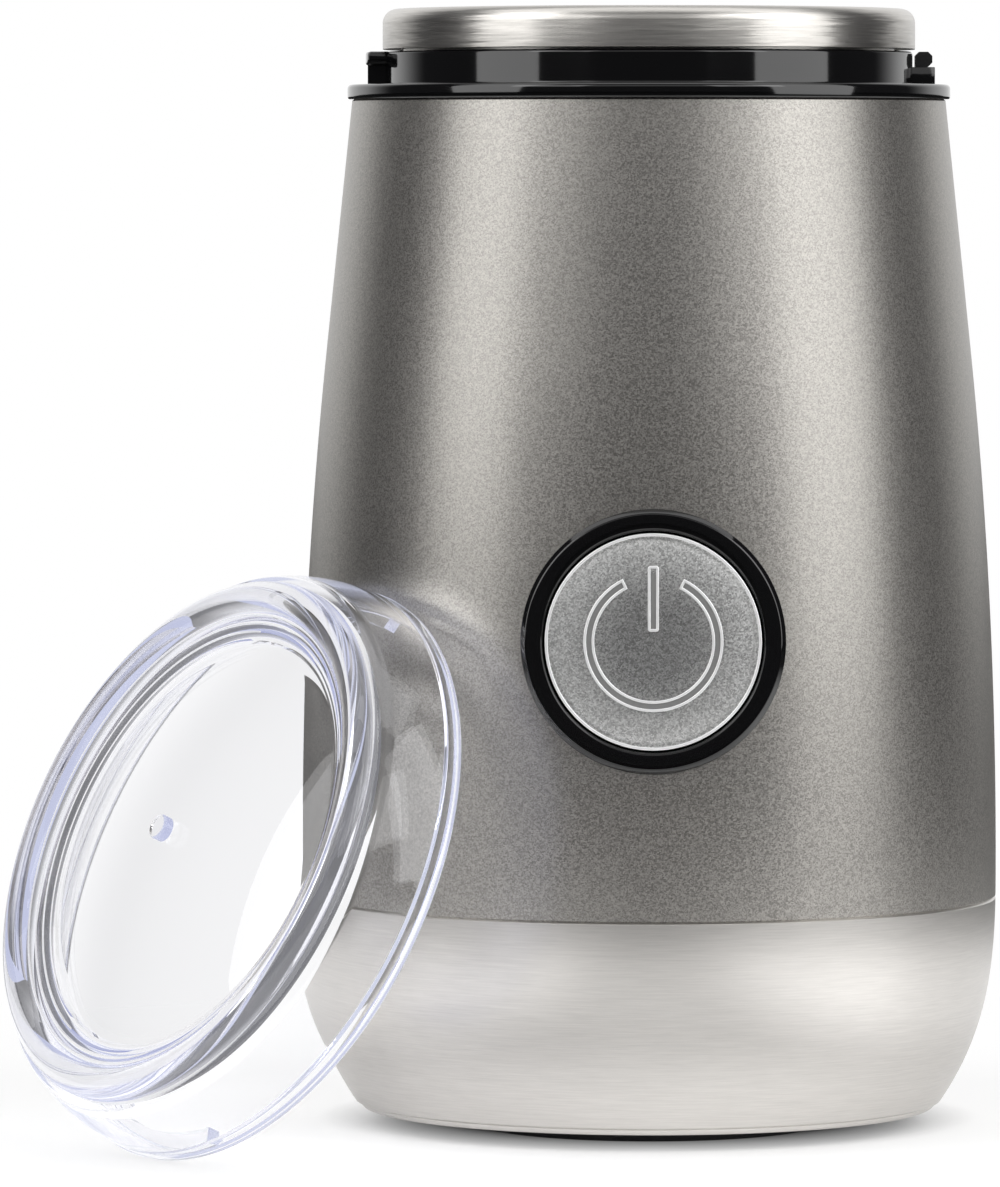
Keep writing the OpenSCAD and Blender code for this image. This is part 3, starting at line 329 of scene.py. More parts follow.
@dataclass(frozen=True)
class FrostedCapWithPaintedGlow(FlakePaint):
    """Frosted plastic with a painted glow: its colour grows brighter from its middle to its edge.

    Attributes:
        centre_mm: height of the cap's centre.
        inner_mm: radius at which the painted glow starts.
        outer_mm: radius of the cap.
        painted_shade_gain: what the colour is multiplied by in the middle, where the painted glow is darkest.
        painted_glow_gain: what it is multiplied by at the edge, where the painted glow is brightest.
    """

    centre_mm: float = 72.1
    inner_mm: float = 3.0
    outer_mm: float = 15.0
    painted_shade_gain: float = 0.85
    painted_glow_gain: float = 1.75

    def dress(self, tree: bpy.types.NodeTree, shader: bpy.types.Node) -> None:
        """Add the frost's grains, and paint a glow on them that brightens their colour from the middle
        outwards.

        Args:
            tree: the material's node tree.
            shader: its main shader.
        """
        super().dress(tree, shader)
        grains = shader.inputs["Base Color"].links[0].from_socket
        # Painted glow: the grains' colour is scaled up with the distance from the cap's centre.
        kind = "ShaderNodeVectorMath"
        place = add_node(tree, "ShaderNodeTexCoord").outputs["Object"]
        centre = (0.0, 0.0, self.centre_mm * MM)
        offset = add_node(tree, kind, {0: place, 1: centre}, operation="SUBTRACT")
        across = add_node(tree, kind, {0: offset.outputs[0], 1: (1, 0, 1)}, operation="MULTIPLY")
        radius = add_node(tree, kind, {0: across.outputs[0]}, operation="LENGTH").outputs["Value"]
        painted_glow_fade = Fade(self.inner_mm * MM, self.outer_mm * MM, self.painted_shade_gain, self.painted_glow_gain)
        painted_glow_level = add_node(
            tree, "ShaderNodeMapRange", painted_glow_fade.along(radius), interpolation_type="SMOOTHERSTEP"
        )
        bright = add_node(tree, kind, {0: grains, "Scale": painted_glow_level.outputs["Result"]}, operation="SCALE")
        tree.links.new(bright.outputs[0], shader.inputs["Base Color"])


@dataclass(frozen=True)
class BrushedMetal(Finish):
    """Metal brushed or turned round the motor's axis.

    Attributes:
        line_mm: distance between brush lines.
        line_length_mm: length of a brush line.
        line_depth_mm: depth of the lines.
        anisotropy: how much the lines stretch a highlight.
        turn: direction of the stretch, where 0 is along the lines and 0.25 is across them.
        stroke_tilt: how far the metal leans from stroke to stroke, as a share of its normal.
    """

    metallic: float = 1.0
    line_mm: float = 0.25
    line_length_mm: float = 25.0
    line_depth_mm: float = 0.004
    anisotropy: float = 0.6
    turn: float = 0.25
    stroke_tilt: float = 0.05

    def dress(self, tree: bpy.types.NodeTree, shader: bpy.types.Node) -> None:
        """Add lines that run round the axis, on upright and on level surfaces alike.

        Args:
            tree: the material's node tree.
            shader: its main shader.
        """
        kind = "ShaderNodeVectorMath"
        place = add_node(tree, "ShaderNodeTexCoord").outputs["Object"]
        along, across = per_metre(self.line_length_mm), per_metre(self.line_mm)
        upright = add_node(tree, kind, {0: place, 1: (along, along, across)}, operation="MULTIPLY")
        level = add_node(tree, kind, {0: place, 1: (across, across, 0)}, operation="MULTIPLY")
        radius = add_node(tree, kind, {0: level.outputs[0]}, operation="LENGTH").outputs["Value"]
        strokes = {"Vector": upright.outputs[0], "W": radius, "Scale": 1.0, "Detail": 4.0, "Roughness": 0.65}
        lines = add_node(tree, "ShaderNodeTexNoise", strokes, noise_dimensions="4D")
        self.shade_by(tree, shader, lines.outputs["Fac"])
        relief = self.emboss(tree, shader, lines.outputs["Fac"], self.line_depth_mm)
        tree.links.new(self.lean(tree, lines.outputs["Color"], self.stroke_tilt), relief.inputs["Normal"])
        shader.inputs["Anisotropic"].default_value = self.anisotropy
        shader.inputs["Anisotropic Rotation"].default_value = self.turn
        tangent = add_node(tree, "ShaderNodeTangent", direction_type="RADIAL", axis="Z")
        tree.links.new(tangent.outputs["Tangent"], shader.inputs["Tangent"])


@dataclass(frozen=True)
class Stacked(Finish):
    """Sheets or turns of wire stacked along Z, such as motor laminations and windings.

    The layers are drawn about six times their real height, because real ones are too fine to
    show.

    Attributes:
        layer_mm: height of one drawn layer.
        groove_mm: depth of the groove between two layers.
    """

    layer_mm: float = 3.14
    groove_mm: float = 0.1

    def dress(self, tree: bpy.types.NodeTree, shader: bpy.types.Node) -> None:
        """Add one level line for each layer.

        Args:
            tree: the material's node tree.
            shader: its main shader.
        """
        place = add_node(tree, "ShaderNodeTexCoord").outputs["Object"]
        radians_per_unit = 20
        scale = per_metre(self.layer_mm) * math.tau / radians_per_unit
        bands = {"Vector": place, "Scale": scale, "Distortion": 0.4, "Detail": 1.0}
        layers = add_node(tree, "ShaderNodeTexWave", bands, bands_direction="Z").outputs["Fac"]
        self.shade_by(tree, shader, layers)
        self.emboss(tree, shader, layers, self.groove_mm)


@dataclass(frozen=True)
class ClearPlastic(Finish):
    """Clear moulded plastic that takes on a tint in its thick edges, where it also shows a painted glow.

    Attributes:
        tint: sRGB hex of white light after it has passed through a thick edge.
        tint_per_metre: how fast the tint builds up.
        painted_trapped_glow: sRGB hex of a painted glow that stands for the light running round inside an
            edge.
        painted_glow_after: reflections inside the plastic after which a ray shows the painted glow instead of
            the traced light.
        shadow_face: sRGB hex of what it lets through face on, onto the surface behind it.
        shadow_edge: the same where light only grazes it.
        shadow_blend: how far the edge's shadow reaches inwards.
    """

    tint: str = "c4c8ec"
    tint_per_metre: float = 24.0
    painted_trapped_glow: str = "dadeee"
    painted_glow_after: float = 3.5
    shadow_face: str = "d0d0d6"
    shadow_edge: str = "404046"
    shadow_blend: float = 0.4

    def dress(self, tree: bpy.types.NodeTree, shader: bpy.types.Node) -> None:
        """Let light through, tint it on its way, paint a glow where a ray has reflected inside it many times,
        and keep the plastic's shadow light.

        Args:
            tree: the material's node tree.
            shader: its main shader.
        """
        place = add_node(tree, "ShaderNodeTexCoord").outputs["Object"]
        waves = {"Vector": place, "Scale": per_metre(self.grain_mm), "Detail": 1.0}
        flow = add_node(tree, "ShaderNodeTexNoise", waves).outputs["Fac"]
        shader.inputs["Base Color"].default_value = linear(self.colour)
        shader.inputs["Roughness"].default_value = self.roughness
        shader.inputs["Transmission Weight"].default_value = 1.0
        self.emboss(tree, shader, flow, self.grain_depth_mm)

        # Painted glow: a ray that has reflected inside the plastic more than a few times shows a pale lilac
        # glow in place of the traced light.
        path = add_node(tree, "ShaderNodeLightPath")
        depth = {0: path.outputs["Glossy Depth"], 1: self.painted_glow_after}
        trapped = add_node(tree, "ShaderNodeMath", depth, operation="GREATER_THAN").outputs[0]
        painted_edge_glow = add_node(tree, "ShaderNodeEmission", {"Color": linear(self.painted_trapped_glow)}).outputs[0]
        sights = {0: trapped, 1: shader.outputs[0], 2: painted_edge_glow}
        clear = add_node(tree, "ShaderNodeMixShader", sights).outputs[0]

        slant = add_node(tree, "ShaderNodeLayerWeight", {"Blend": self.shadow_blend}).outputs["Facing"]
        shades = {0: slant, 6: linear(self.shadow_face), 7: linear(self.shadow_edge)}
        shade = add_node(tree, "ShaderNodeMix", shades, data_type="RGBA").outputs[2]
        shadow = add_node(tree, "ShaderNodeBsdfTransparent", {"Color": shade}).outputs[0]
        surfaces = {0: path.outputs["Is Shadow Ray"], 1: clear, 2: shadow}
        surface = add_node(tree, "ShaderNodeMixShader", surfaces).outputs[0]

        inside = {"Color": linear(self.tint), "Density": self.tint_per_metre}
        absorb = add_node(tree, "ShaderNodeVolumeAbsorption", inside).outputs[0]
        output = tree.nodes["Material Output"]
        tree.links.new(surface, output.inputs["Surface"])
        tree.links.new(absorb, output.inputs["Volume"])


# A warm mid grey with a fine sparkle and wide, soft highlights. The flakes are drawn twice
# their real width, because real ones are too fine to show.
HOUSING_PAINT = FlakePaint(
    "flake_paint_sprayed", "shell_paint", "a8a5a0",
    roughness=0.34, metallic=0.9, shade=0.28, flake_mm=0.18, tilt=0.012,
)
# Light, slightly warm steel with short level lines, bright where it faces a lamp. The lines of
# all brushed metals are drawn two to four times as wide as real ones, so that they show.
BAND_STEEL = BrushedMetal(
    "stainless_steel_brushed", "brushed_steel", "d3d0cc",
    roughness=0.32, shade=0.18, line_mm=0.22, line_length_mm=6.0, anisotropy=0.4, turn=0.0, stroke_tilt=0.02,
)
# Drawn and brushed steel with uneven strokes, which break up the lamps in the cup's rim.
CUP_STEEL = BrushedMetal(
    "stainless_steel_drawn", "cup_steel", "d0cdc8",
    roughness=0.32, shade=0.30, line_mm=0.26, line_length_mm=8.0, stroke_tilt=0.26,
)
# Deep black with clear, mirror-like reflections of the lamps, slightly wavy as moulded parts are.
COLLAR_ABS = Finish(
    "abs_gloss_moulded", "gloss_black", "0b0b0c", roughness=0.07, ior=1.62, grain_mm=6.0, grain_depth_mm=0.004
)
# Dark, with a spark-eroded grain that breaks up highlights. The grain of this and the other
# satin mouldings is drawn about three times as coarse as the real one, so that it shows.
SATIN_ABS = Finish("abs_satin_moulded", "black_plastic", "1a1a1b", roughness=0.42, grain_mm=0.35)
# Dull grey with a dusty bloom and no clear highlight.
FOOT_RUBBER = Finish("rubber_moulded", "rubber_black", "5e5e60", roughness=0.7, grain_mm=0.6, shade=0.15)
# Frosted silver that glitters in fine grains, with a painted glow that leaves it darker in the middle than at
# the edge. The grains are drawn about twice as wide as real ones, so that they show.
CAP_FROST = FrostedCapWithPaintedGlow(
    "abs_frosted_silver", "frosted_cap", "9a9a99",
    roughness=0.42, metallic=0.6, shade=0.34, flake_mm=0.20, tilt=0.10,
)
# The bright, smooth line round the cap and along its emblem.
CAP_LINE = Finish("abs_line_polished", "frosted_cap", WHITE, roughness=0.4, metallic=0.35, grain_mm=1.0)
# The smooth, even grey floor of the emblem's channels.
CAP_CHANNEL = Finish(
    "abs_channel_polished", "frosted_cap", "a2a2a1", roughness=0.42, metallic=0.5, grain_mm=1.0
)
# Water-clear, with lilac in the thick rims, partly from its tint and partly from a painted glow, and the
# faint flow waves of moulding.
LID_PLASTIC = ClearPlastic(
    "pmma_clear_moulded", "clear_plastic", WHITE, roughness=0.01, ior=1.49, grain_mm=18.0, grain_depth_mm=0.01
)
# Cool, bright plating on screws and bolts.
ZINC_STEEL = Finish("steel_zinc_plated", "zinc_steel", "c3c6cb", roughness=0.32, metallic=1.0, grain_mm=0.4)
# Grey zinc with broad, soft crystals.
SHEET_STEEL = Finish(
    "steel_sheet_galvanised", "plated_sheet", "b9bcc0", roughness=0.38, metallic=1.0, grain_mm=4.0
)
# Dull steel, banded by the edges of its sheets.
LAMINATED_STEEL = Stacked(
    "electrical_steel_stacked", "laminated_steel", "8c8f94", roughness=0.45, metallic=1.0
)
# Red-brown wire under glossy lacquer, banded by its turns.
COPPER_WIRE = Stacked(
    "copper_wire_enamelled", "copper_wire", "b4612c", roughness=0.3, metallic=0.9, coat=0.6
)
# Pink-brown copper with fine turning lines.
COPPER_BARS = BrushedMetal("copper_turned", "commutator_copper", "c98a5c", roughness=0.3)
# Bright, nearly mirror-smooth steel with faint grinding lines.
BEARING_STEEL = BrushedMetal("bearing_steel_ground", "bearing_steel", "d2d4d7", roughness=0.2, shade=0.05)
# Smooth grey wire with narrow highlights.
SPRING_STEEL = Finish(
    "spring_steel_drawn", "spring_steel", "b8babd", roughness=0.25, metallic=1.0, grain_mm=0.3
)
# Dull yellow-brown metal.
BRONZE = BrushedMetal("bronze_sintered", "bronze", "b08a52", roughness=0.4, shade=0.12)
# Matt, sooty near-black.
CARBON = Finish("carbon_pressed", "carbon", "2c2c2e", roughness=0.55, grain_mm=0.25, shade=0.25)
# Dull dark brown with a mottled filler.
PHENOLIC = Finish("phenolic_pressed", "phenolic_brown", "5a3c28", roughness=0.45, grain_mm=0.5, shade=0.15)
# Warm off-white, satin.
IVORY_NYLON = Finish("nylon_ivory_moulded", "ivory_plastic", "dfdacb", roughness=0.45, grain_mm=0.6)
# Dark slate blue, satin.
BLUE_NYLON = Finish("nylon_blue_moulded", "blue_plastic", "33455f", roughness=0.4, grain_mm=0.5)
# Brick red with a slight shine.
RED_ACETAL = Finish("acetal_red_moulded", "red_plastic", "a83226", roughness=0.3, grain_mm=0.5)
# Middle grey, satin.
GREY_ABS = Finish("abs_grey_moulded", "grey_plastic", "5a5a5e", roughness=0.45, grain_mm=0.4)

CARRIED_OVER = {
    SATIN_ABS: [
        "base_plate", "switch_bracket", "drive_coupler", "driven_coupler", "cup_base", "interlock_pin",
    ],
    FOOT_RUBBER: ["foot_ring", "cord_grommet", "motor_dampers", "shaft_seal"],
    ZINC_STEEL: ["base_screws", "motor_bolts", "mount_screws"],
    SHEET_STEEL: ["motor_bracket_top", "motor_bracket_bottom"],
    LAMINATED_STEEL: ["stator_core", "rotor_core"],
    COPPER_WIRE: ["field_coils", "armature_windings"],
    COPPER_BARS: ["commutator"],
    BEARING_STEEL: ["upper_bearing", "lower_bearing", "rotor_shaft", "blade_shaft"],
    SPRING_STEEL: ["button_spring", "interlock_spring"],
    BRONZE: ["shaft_bushing"],
    CARBON: ["carbon_brushes"],
    PHENOLIC: ["brush_holders"],
    IVORY_NYLON: ["terminal_block", "cooling_fan"],
    BLUE_NYLON: ["start_switch", "interlock_switch"],
    RED_ACETAL: ["start_plunger", "interlock_plunger"],
    GREY_ABS: ["button_stem"],
    CUP_STEEL: ["blade", "blade_nut"],
}


# Meshes

CREASE = 32.0
SMOOTH_CREASE = 70.0
ROUND_STEPS = 192
BIG_ROUND_STEPS = 256


def arc(centre: Point, radius: float, start: float, end: float, steps: int = 8) -> list[Point]:
    """Give points along an arc.

    Args:
        centre: its centre.
        radius: its radius.
        start: its first angle, in degrees.
        end: its last angle, in degrees.
        steps: straight pieces in it.

    Returns:
        The points, both ends included.
    """
    angles = [math.radians(start + (end - start) * i / steps) for i in range(steps + 1)]
    return [(centre[0] + radius * math.cos(a), centre[1] + radius * math.sin(a)) for a in angles]


def rounded(corners: Sequence[Corner], steps: int = 5) -> list[Point]:
    """Round the corners of a closed outline.

    Args:
        corners: x, y and fillet radius of each corner, in order.
        steps: straight pieces in each fillet.

    Returns:
        The outline's points.
    """
    outline: list[Point] = []
    for i, (x, y, radius) in enumerate(corners):
        if radius == 0:
            outline.append((x, y))
            continue
        here = Vector((x, y))
        before = (Vector(corners[i - 1][:2]) - here).normalized()
        after = (Vector(corners[(i + 1) % len(corners)][:2]) - here).normalized()
        half = before.angle(after) / 2
        centre = here + (before + after).normalized() * (radius / math.sin(half))
        first = here + before * (radius / math.tan(half)) - centre
        last = here + after * (radius / math.tan(half)) - centre
        start = math.atan2(first.y, first.x)
        turn = (math.atan2(last.y, last.x) - start + math.pi) % (2 * math.pi) - math.pi
        outline += arc((centre.x, centre.y), radius, math.degrees(start), math.degrees(start + turn), steps)
    return outline


def make_piece(name: str, mesh: bmesh.types.BMesh, crease: float = CREASE) -> bpy.types.Object:
    """Turn a bmesh in millimetres into a smooth-shaded object in metres.

    Args:
        name: the piece's name.
        mesh: its mesh, which is used up.
        crease: edges that turn by more than this many degrees stay sharp.

    Returns:
        The new object.
    """
    bmesh.ops.remove_doubles(mesh, verts=mesh.verts, dist=1e-5)
    bmesh.ops.recalc_face_normals(mesh, faces=mesh.faces)
    bmesh.ops.scale(mesh, vec=(MM, MM, MM), verts=mesh.verts)
    data = bpy.data.meshes.new(name)
    mesh.to_mesh(data)
    mesh.free()
    data.shade_smooth()
    data.set_sharp_from_angle(angle=math.radians(crease))
    piece = bpy.data.objects.new(name, data)
    bpy.context.scene.collection.objects.link(piece)
    return piece


def skin(mesh: bmesh.types.BMesh, rings: Sequence[Sequence[bmesh.types.BMVert]]) -> None:
    """Close the surface between rings of vertices, from each to the next and round to the first.

    Args:
        mesh: the mesh that the rings are in.
        rings: rings with as many vertices each, where a ring on the axis repeats its one vertex.
    """
    for i, ring in enumerate(rings):
        before = rings[i - 1]
        for k in range(len(ring)):
            j = (k + 1) % len(ring)
            corners = list(dict.fromkeys([before[k], before[j], ring[j], ring[k]]))
            if len(corners) > 2:
                mesh.faces.new(corners)


def revolve(name: str, outline: Sequence[Point], segments: int = ROUND_STEPS) -> bpy.types.Object:
    """Turn a closed outline round the Z axis.

    Args:
        name: the piece's name.
        outline: radius and height of each point.
        segments: pieces round the axis.

    Returns:
        The new object.
    """
    mesh = bmesh.new()
    angles = [2 * math.pi * k / segments for k in range(segments)]
    turned = [(math.cos(a), math.sin(a)) for a in angles]
    rings = []
    for radius, height in outline:
        if math.isclose(radius, 0, abs_tol=1e-6):
            rings.append([mesh.verts.new((0, 0, height))] * segments)
        else:
            rings.append([mesh.verts.new((radius * x, radius * y, height)) for x, y in turned])
    skin(mesh, rings)
    return make_piece(name, mesh)


def rod(name: str, radius: float, low: float, high: float, segments: int) -> bpy.types.Object:
    """Make a round bar along Z between two heights."""
    return revolve(name, [(0, low), (radius, low), (radius, high), (0, high)], segments)


def extrude(
    name: str, outline: Sequence[Point], low: float, high: float, bevel: float = 0.0
) -> bpy.types.Object:
    """Raise a closed outline along Z.

    Args:
        name: the piece's name.
        outline: its points in the XY plane.
        low: height of its lower face.
        high: height of its upper face.
        bevel: width of a bevel on all its edges.

    Returns:
        The new object.
    """
    mesh = bmesh.new()
    face = mesh.faces.new([mesh.verts.new((x, y, 0)) for x, y in outline])
    raised = bmesh.ops.extrude_face_region(mesh, geom=[face])
    verts = [v for v in raised["geom"] if isinstance(v, bmesh.types.BMVert)]
    bmesh.ops.translate(mesh, vec=(0, 0, high - low), verts=verts)
    if bevel:
        bmesh.ops.bevel(mesh, geom=mesh.edges[:], offset=bevel, segments=2, profile=0.5, affect="EDGES")
    piece = make_piece(name, mesh)
    piece.data.transform(Matrix.Translation((0, 0, low * MM)))
    return piece


def block(name: str, low: Sequence[float], high: Sequence[float], bevel: float = 0.0) -> bpy.types.Object:
    """Make a box between two corners, with a bevel on all its edges."""
    outline = [(low[0], low[1]), (high[0], low[1]), (high[0], high[1]), (low[0], high[1])]
    return extrude(name, outline, low[2], high[2], bevel)


def tube(name: str, path: Sequence[Point], width: float, height: float, sides: int = 8) -> bpy.types.Object:
    """Sweep an oval along a closed path in the XY plane.

    Args:
        name: the piece's name.
        path: the path's points.
        width: the oval's width in the plane.
        height: its height across the plane.
        sides: points round the oval.

    Returns:
        The new object.
    """
    mesh = bmesh.new()
    points = [Vector((x, y, 0)) for x, y in path]
    sharpest_bend = 0.5
    rings = []
    for i, point in enumerate(points):
        ahead = (points[(i + 1) % len(points)] - point).normalized()
        behind = (point - points[i - 1]).normalized()
        along = (ahead + behind).normalized()
        bend = math.sqrt((1 + ahead.dot(behind)) / 2)
        side = Vector((along.y, -along.x, 0)) / max(sharpest_bend, bend)
        ring = []
        for k in range(sides):
            a = 2 * math.pi * k / sides
            offset = side * (math.cos(a) * width / 2) + Vector((0, 0, math.sin(a) * height / 2))
            ring.append(mesh.verts.new(point + offset))
        rings.append(ring)
    skin(mesh, rings)
    return make_piece(name, mesh, SMOOTH_CREASE)


def combine(piece: bpy.types.Object, tool: bpy.types.Object, joining: Joining) -> bpy.types.Object:
    """Cut a tool out of a piece, or weld it on, and remove the tool.

    Args:
        piece: the object that stays.
        tool: the object that is used up.
        joining: whether the tool is cut out or welded on.

    Returns:
        The piece.
    """
    change = piece.modifiers.new("combine", "BOOLEAN")
    change.operation = joining.value
    change.solver = "EXACT"
    change.object = tool
    change.material_mode = "TRANSFER"
    graph = bpy.context.evaluated_depsgraph_get()
    made = bpy.data.meshes.new_from_object(piece.evaluated_get(graph), depsgraph=graph)
    piece.modifiers.clear()
    old = piece.data
    piece.data = made
    made.name = piece.name
    bpy.data.meshes.remove(old)
    bpy.data.objects.remove(tool)
    made.shade_smooth()
    made.set_sharp_from_angle(angle=math.radians(CREASE))
    return piece


# Shared sizes


@dataclass(frozen=True)
class Radii:
    """Radii of the neck zone, which follow from the cup's rim outwards.

    Attributes:
        rim: outside of the cup's rolled rim.
        rim_overhang: how far the rim stands out over the neck.
        rim_roll: how far it stands out from the cup's wall.
        cup_clear: room between the cup's wall and its well.
        lug_reach: how far the lid lugs stand out of the neck.
        lid_clear: room between the lugs and the lid.
        lid_wall: the lid's wall.
        lid_bead: how far the bead at its open end stands out.
        flange_margin: how far the flange stands out past the bead.
        flange_overhang: how far it stands out over the shell.
    """

    rim: float
    rim_overhang: float = 0.35
    rim_roll: float = 2.95
    cup_clear: float = 0.5
    lug_reach: float = 2.8
    lid_clear: float = 0.4
    lid_wall: float = 1.6
    lid_bead: float = 0.1
    flange_margin: float = 0.5
    flange_overhang: float = 0.7

    @property
    def neck(self) -> float:
        """Outside of the neck."""
        return self.rim - self.rim_overhang

    @property
    def cup(self) -> float:
        """Outside of the cup's wall."""
        return self.rim - self.rim_roll

    @property
    def well(self) -> float:
        """Inside of the cup well."""
        return self.cup + self.cup_clear

    @property
    def lug(self) -> float:
        """Tips of the lid lugs."""
        return self.neck + self.lug_reach

    @property
    def lid_inside(self) -> float:
        """Inside of the lid's open end."""
        return self.lug + self.lid_clear

    @property
    def lid(self) -> float:
        """Outside of the lid."""
        return self.lid_inside + self.lid_wall

    @property
    def flange(self) -> float:
        """Edge of the flange."""
        return self.lid + self.lid_bead + self.flange_margin

    @property
    def shell_top(self) -> float:
        """Outside of the painted shell's top."""
        return self.flange - self.flange_overhang


@dataclass(frozen=True)
class HousingCurve:
    """Outer curve of the housing: straight at the top, bent below, drawn in at the foot.

    Attributes:
        band_z: height of the band's foot.
        seam_z: height of the seam between band and shell.
        top_z: height of the shell's top.
        top_r: radius there.
        bulge_rise: how far above the seam the widest ring is.
        flare: how much the straight stretch and half the bend widen downwards.
        bend_h: height of the bend above the widest ring.
        tuck: how far the foot is drawn in.
    """

    band_z: float
    seam_z: float
    top_z: float
    top_r: float
    bulge_rise: float = 5.0
    flare: float = 7.5
    bend_h: float = 73.7
    tuck: float = 8.6

    @property
    def bulge_z(self) -> float:
        """Height of the widest ring."""
        return self.seam_z + self.bulge_rise

    @property
    def taper(self) -> float:
        """Slope of the straight stretch, in radians."""
        return math.atan(self.flare / (self.top_z - self.bulge_z - self.bend_h / 2))

    @property
    def bulge_r(self) -> float:
        """Radius of the widest ring."""
        straight = self.top_z - self.bulge_z - self.bend_h
        return self.top_r + self.bend_h * math.tan(self.taper / 2) + straight * math.tan(self.taper)

    def radius(self, z: float) -> float:
        """Give the housing's outer radius at a height.

        Args:
            z: the height.

        Returns:
            The radius.
        """
        if z < self.bulge_z:
            return self.bulge_r - self.tuck * ((self.bulge_z - z) / (self.bulge_z - self.band_z)) ** 3
        if z < self.bulge_z + self.bend_h:
            bend_r = self.bend_h / math.sin(self.taper)
            return self.bulge_r - bend_r + math.sqrt(bend_r**2 - (z - self.bulge_z) ** 2)
        return self.top_r + (self.top_z - z) * math.tan(self.taper)

    def line(self, low: float, high: float, steps: int, inset: float = 0.0) -> list[Point]:
        """Give points of the curve between two heights, moved in by an inset."""
        heights = [low + (high - low) * i / steps for i in range(steps + 1)]
        return [(self.radius(z) - inset, z) for z in heights]


# Sub-assemblies


@dataclass
class SubAssembly:
    """Shared sizes, and how each sub-assembly hands its pieces in.

    Attributes:
        radii: radii of the neck zone.
        curve: outer curve of the housing.
    """

    radii: Radii
    curve: HousingCurve

    def hand_in(
        self, piece: bpy.types.Object, finish: Finish, body: Body, nodes: Iterable[str] = ()
    ) -> None:
        """Dress a piece that has no finish yet, let it ride on its body and report it.

        Args:
            piece: the finished object.
            finish: its main finish.
            body: the body it rides on.
            nodes: the CAD nodes it stands for.
        """
        if not any(piece.data.materials):
            piece.data.materials.clear()
            piece.data.materials.append(finish.material())
        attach(piece, body.value)
        if nodes:
            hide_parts(*nodes)
        LOG.info("%s: %d faces, rides on %s", piece.name, len(piece.data.polygons), body.value)


@dataclass
class Housing(SubAssembly):
    """Painted shell over a brushed steel band.

    Attributes:
        shell_wall: the shell's wall.
        band_sheet: thickness of the band's sheet.
        band_lip: how far the band's foot is turned in.
        foot_roll: radius of the roll at the band's foot.
        seam_lap: how far the shell reaches down inside the band.
        lap_gap: room between the two there.
        edge_r: bevel of the edges that show.
        button_hole_r: radius of the hole for the button.
        button_cut: how far that hole's cutter reaches to each side of the shell.
        inlet_hole_r: radius of the hole for the cord inlet.
        inlet_cut: distances from the axis between which that hole is cut.
    """

    shell_wall: float = 2.4
    band_sheet: float = 0.8
    band_lip: float = 3.0
    foot_roll: float = 0.9
    seam_lap: float = 3.5
    lap_gap: float = 0.1
    edge_r: float = 0.25
    button_hole_r: float = 17.0
    button_cut: float = 14.0
    inlet_hole_r: float = 5.2
    inlet_cut: tuple[float, float] = (40.0, 52.0)

    def build(self, button_axis: Matrix, inlet_z: float) -> None:
        """Build the shell and the band.

        Args:
            button_axis: the button's own frame, whose Z points out of the shell.
            inlet_z: height of the cord inlet.
        """
        self.hand_in(self.shell(button_axis), HOUSING_PAINT, Body.HOUSING, ["body_shell"])
        self.hand_in(self.band(inlet_z), BAND_STEEL, Body.HOUSING, ["base_band"])

    def shell(self, button_axis: Matrix) -> bpy.types.Object:
        """Make the flared shell with its spigot and the hole for the button.

        Args:
            button_axis: the button's own frame, whose Z points out of the shell.

        Returns:
            The shell.
        """
        curve = self.curve
        foot_z = curve.seam_z - self.seam_lap
        lip_r = curve.radius(foot_z) - self.band_sheet - self.lap_gap
        seam_r = curve.radius(curve.seam_z)
        outline = [(lip_r, curve.seam_z), (seam_r - self.edge_r, curve.seam_z)]
        outline += curve.line(curve.seam_z + self.edge_r, curve.top_z - self.edge_r, 64)
        outline += [(curve.top_r - self.edge_r, curve.top_z)]
        outline += reversed(curve.line(curve.seam_z, curve.top_z, 24, self.shell_wall))
        outline += [(seam_r - self.shell_wall, foot_z), (lip_r, foot_z)]
        shell = revolve("painted_shell", outline, BIG_ROUND_STEPS)
        hole = rod("hole", self.button_hole_r, -self.button_cut, self.button_cut, 96)
        hole.data.transform(button_axis)
        return combine(shell, hole, Joining.CUT)

    def band(self, inlet_z: float) -> bpy.types.Object:
        """Make the steel band with its rolled foot and the hole for the inlet.

        Args:
            inlet_z: height of the cord inlet.

        Returns:
            The band.
        """
        curve, roll = self.curve, self.foot_roll
        foot_r = curve.radius(curve.band_z) - roll
        lip_r = foot_r - self.band_lip
        sheet_z = curve.band_z + self.band_sheet
        outline = arc((foot_r, curve.band_z + roll), roll, -90, -8, 6)
        outline += curve.line(curve.band_z + roll + 0.2, curve.seam_z - self.edge_r, 40)
        outline += [(curve.radius(curve.seam_z) - self.edge_r, curve.seam_z)]
        outline += reversed(curve.line(sheet_z + self.band_sheet, curve.seam_z, 24, self.band_sheet))
        outline += [(foot_r, sheet_z), (lip_r, sheet_z), (lip_r, curve.band_z)]
        band = revolve("steel_band", outline, BIG_ROUND_STEPS)
        hole = rod("hole", self.inlet_hole_r, *self.inlet_cut, 64)
        turn = Matrix.Translation((0, 0, inlet_z * MM)) @ Matrix.Rotation(math.radians(-90), 4, "X")
        hole.data.transform(turn)
        return combine(band, hole, Joining.CUT)


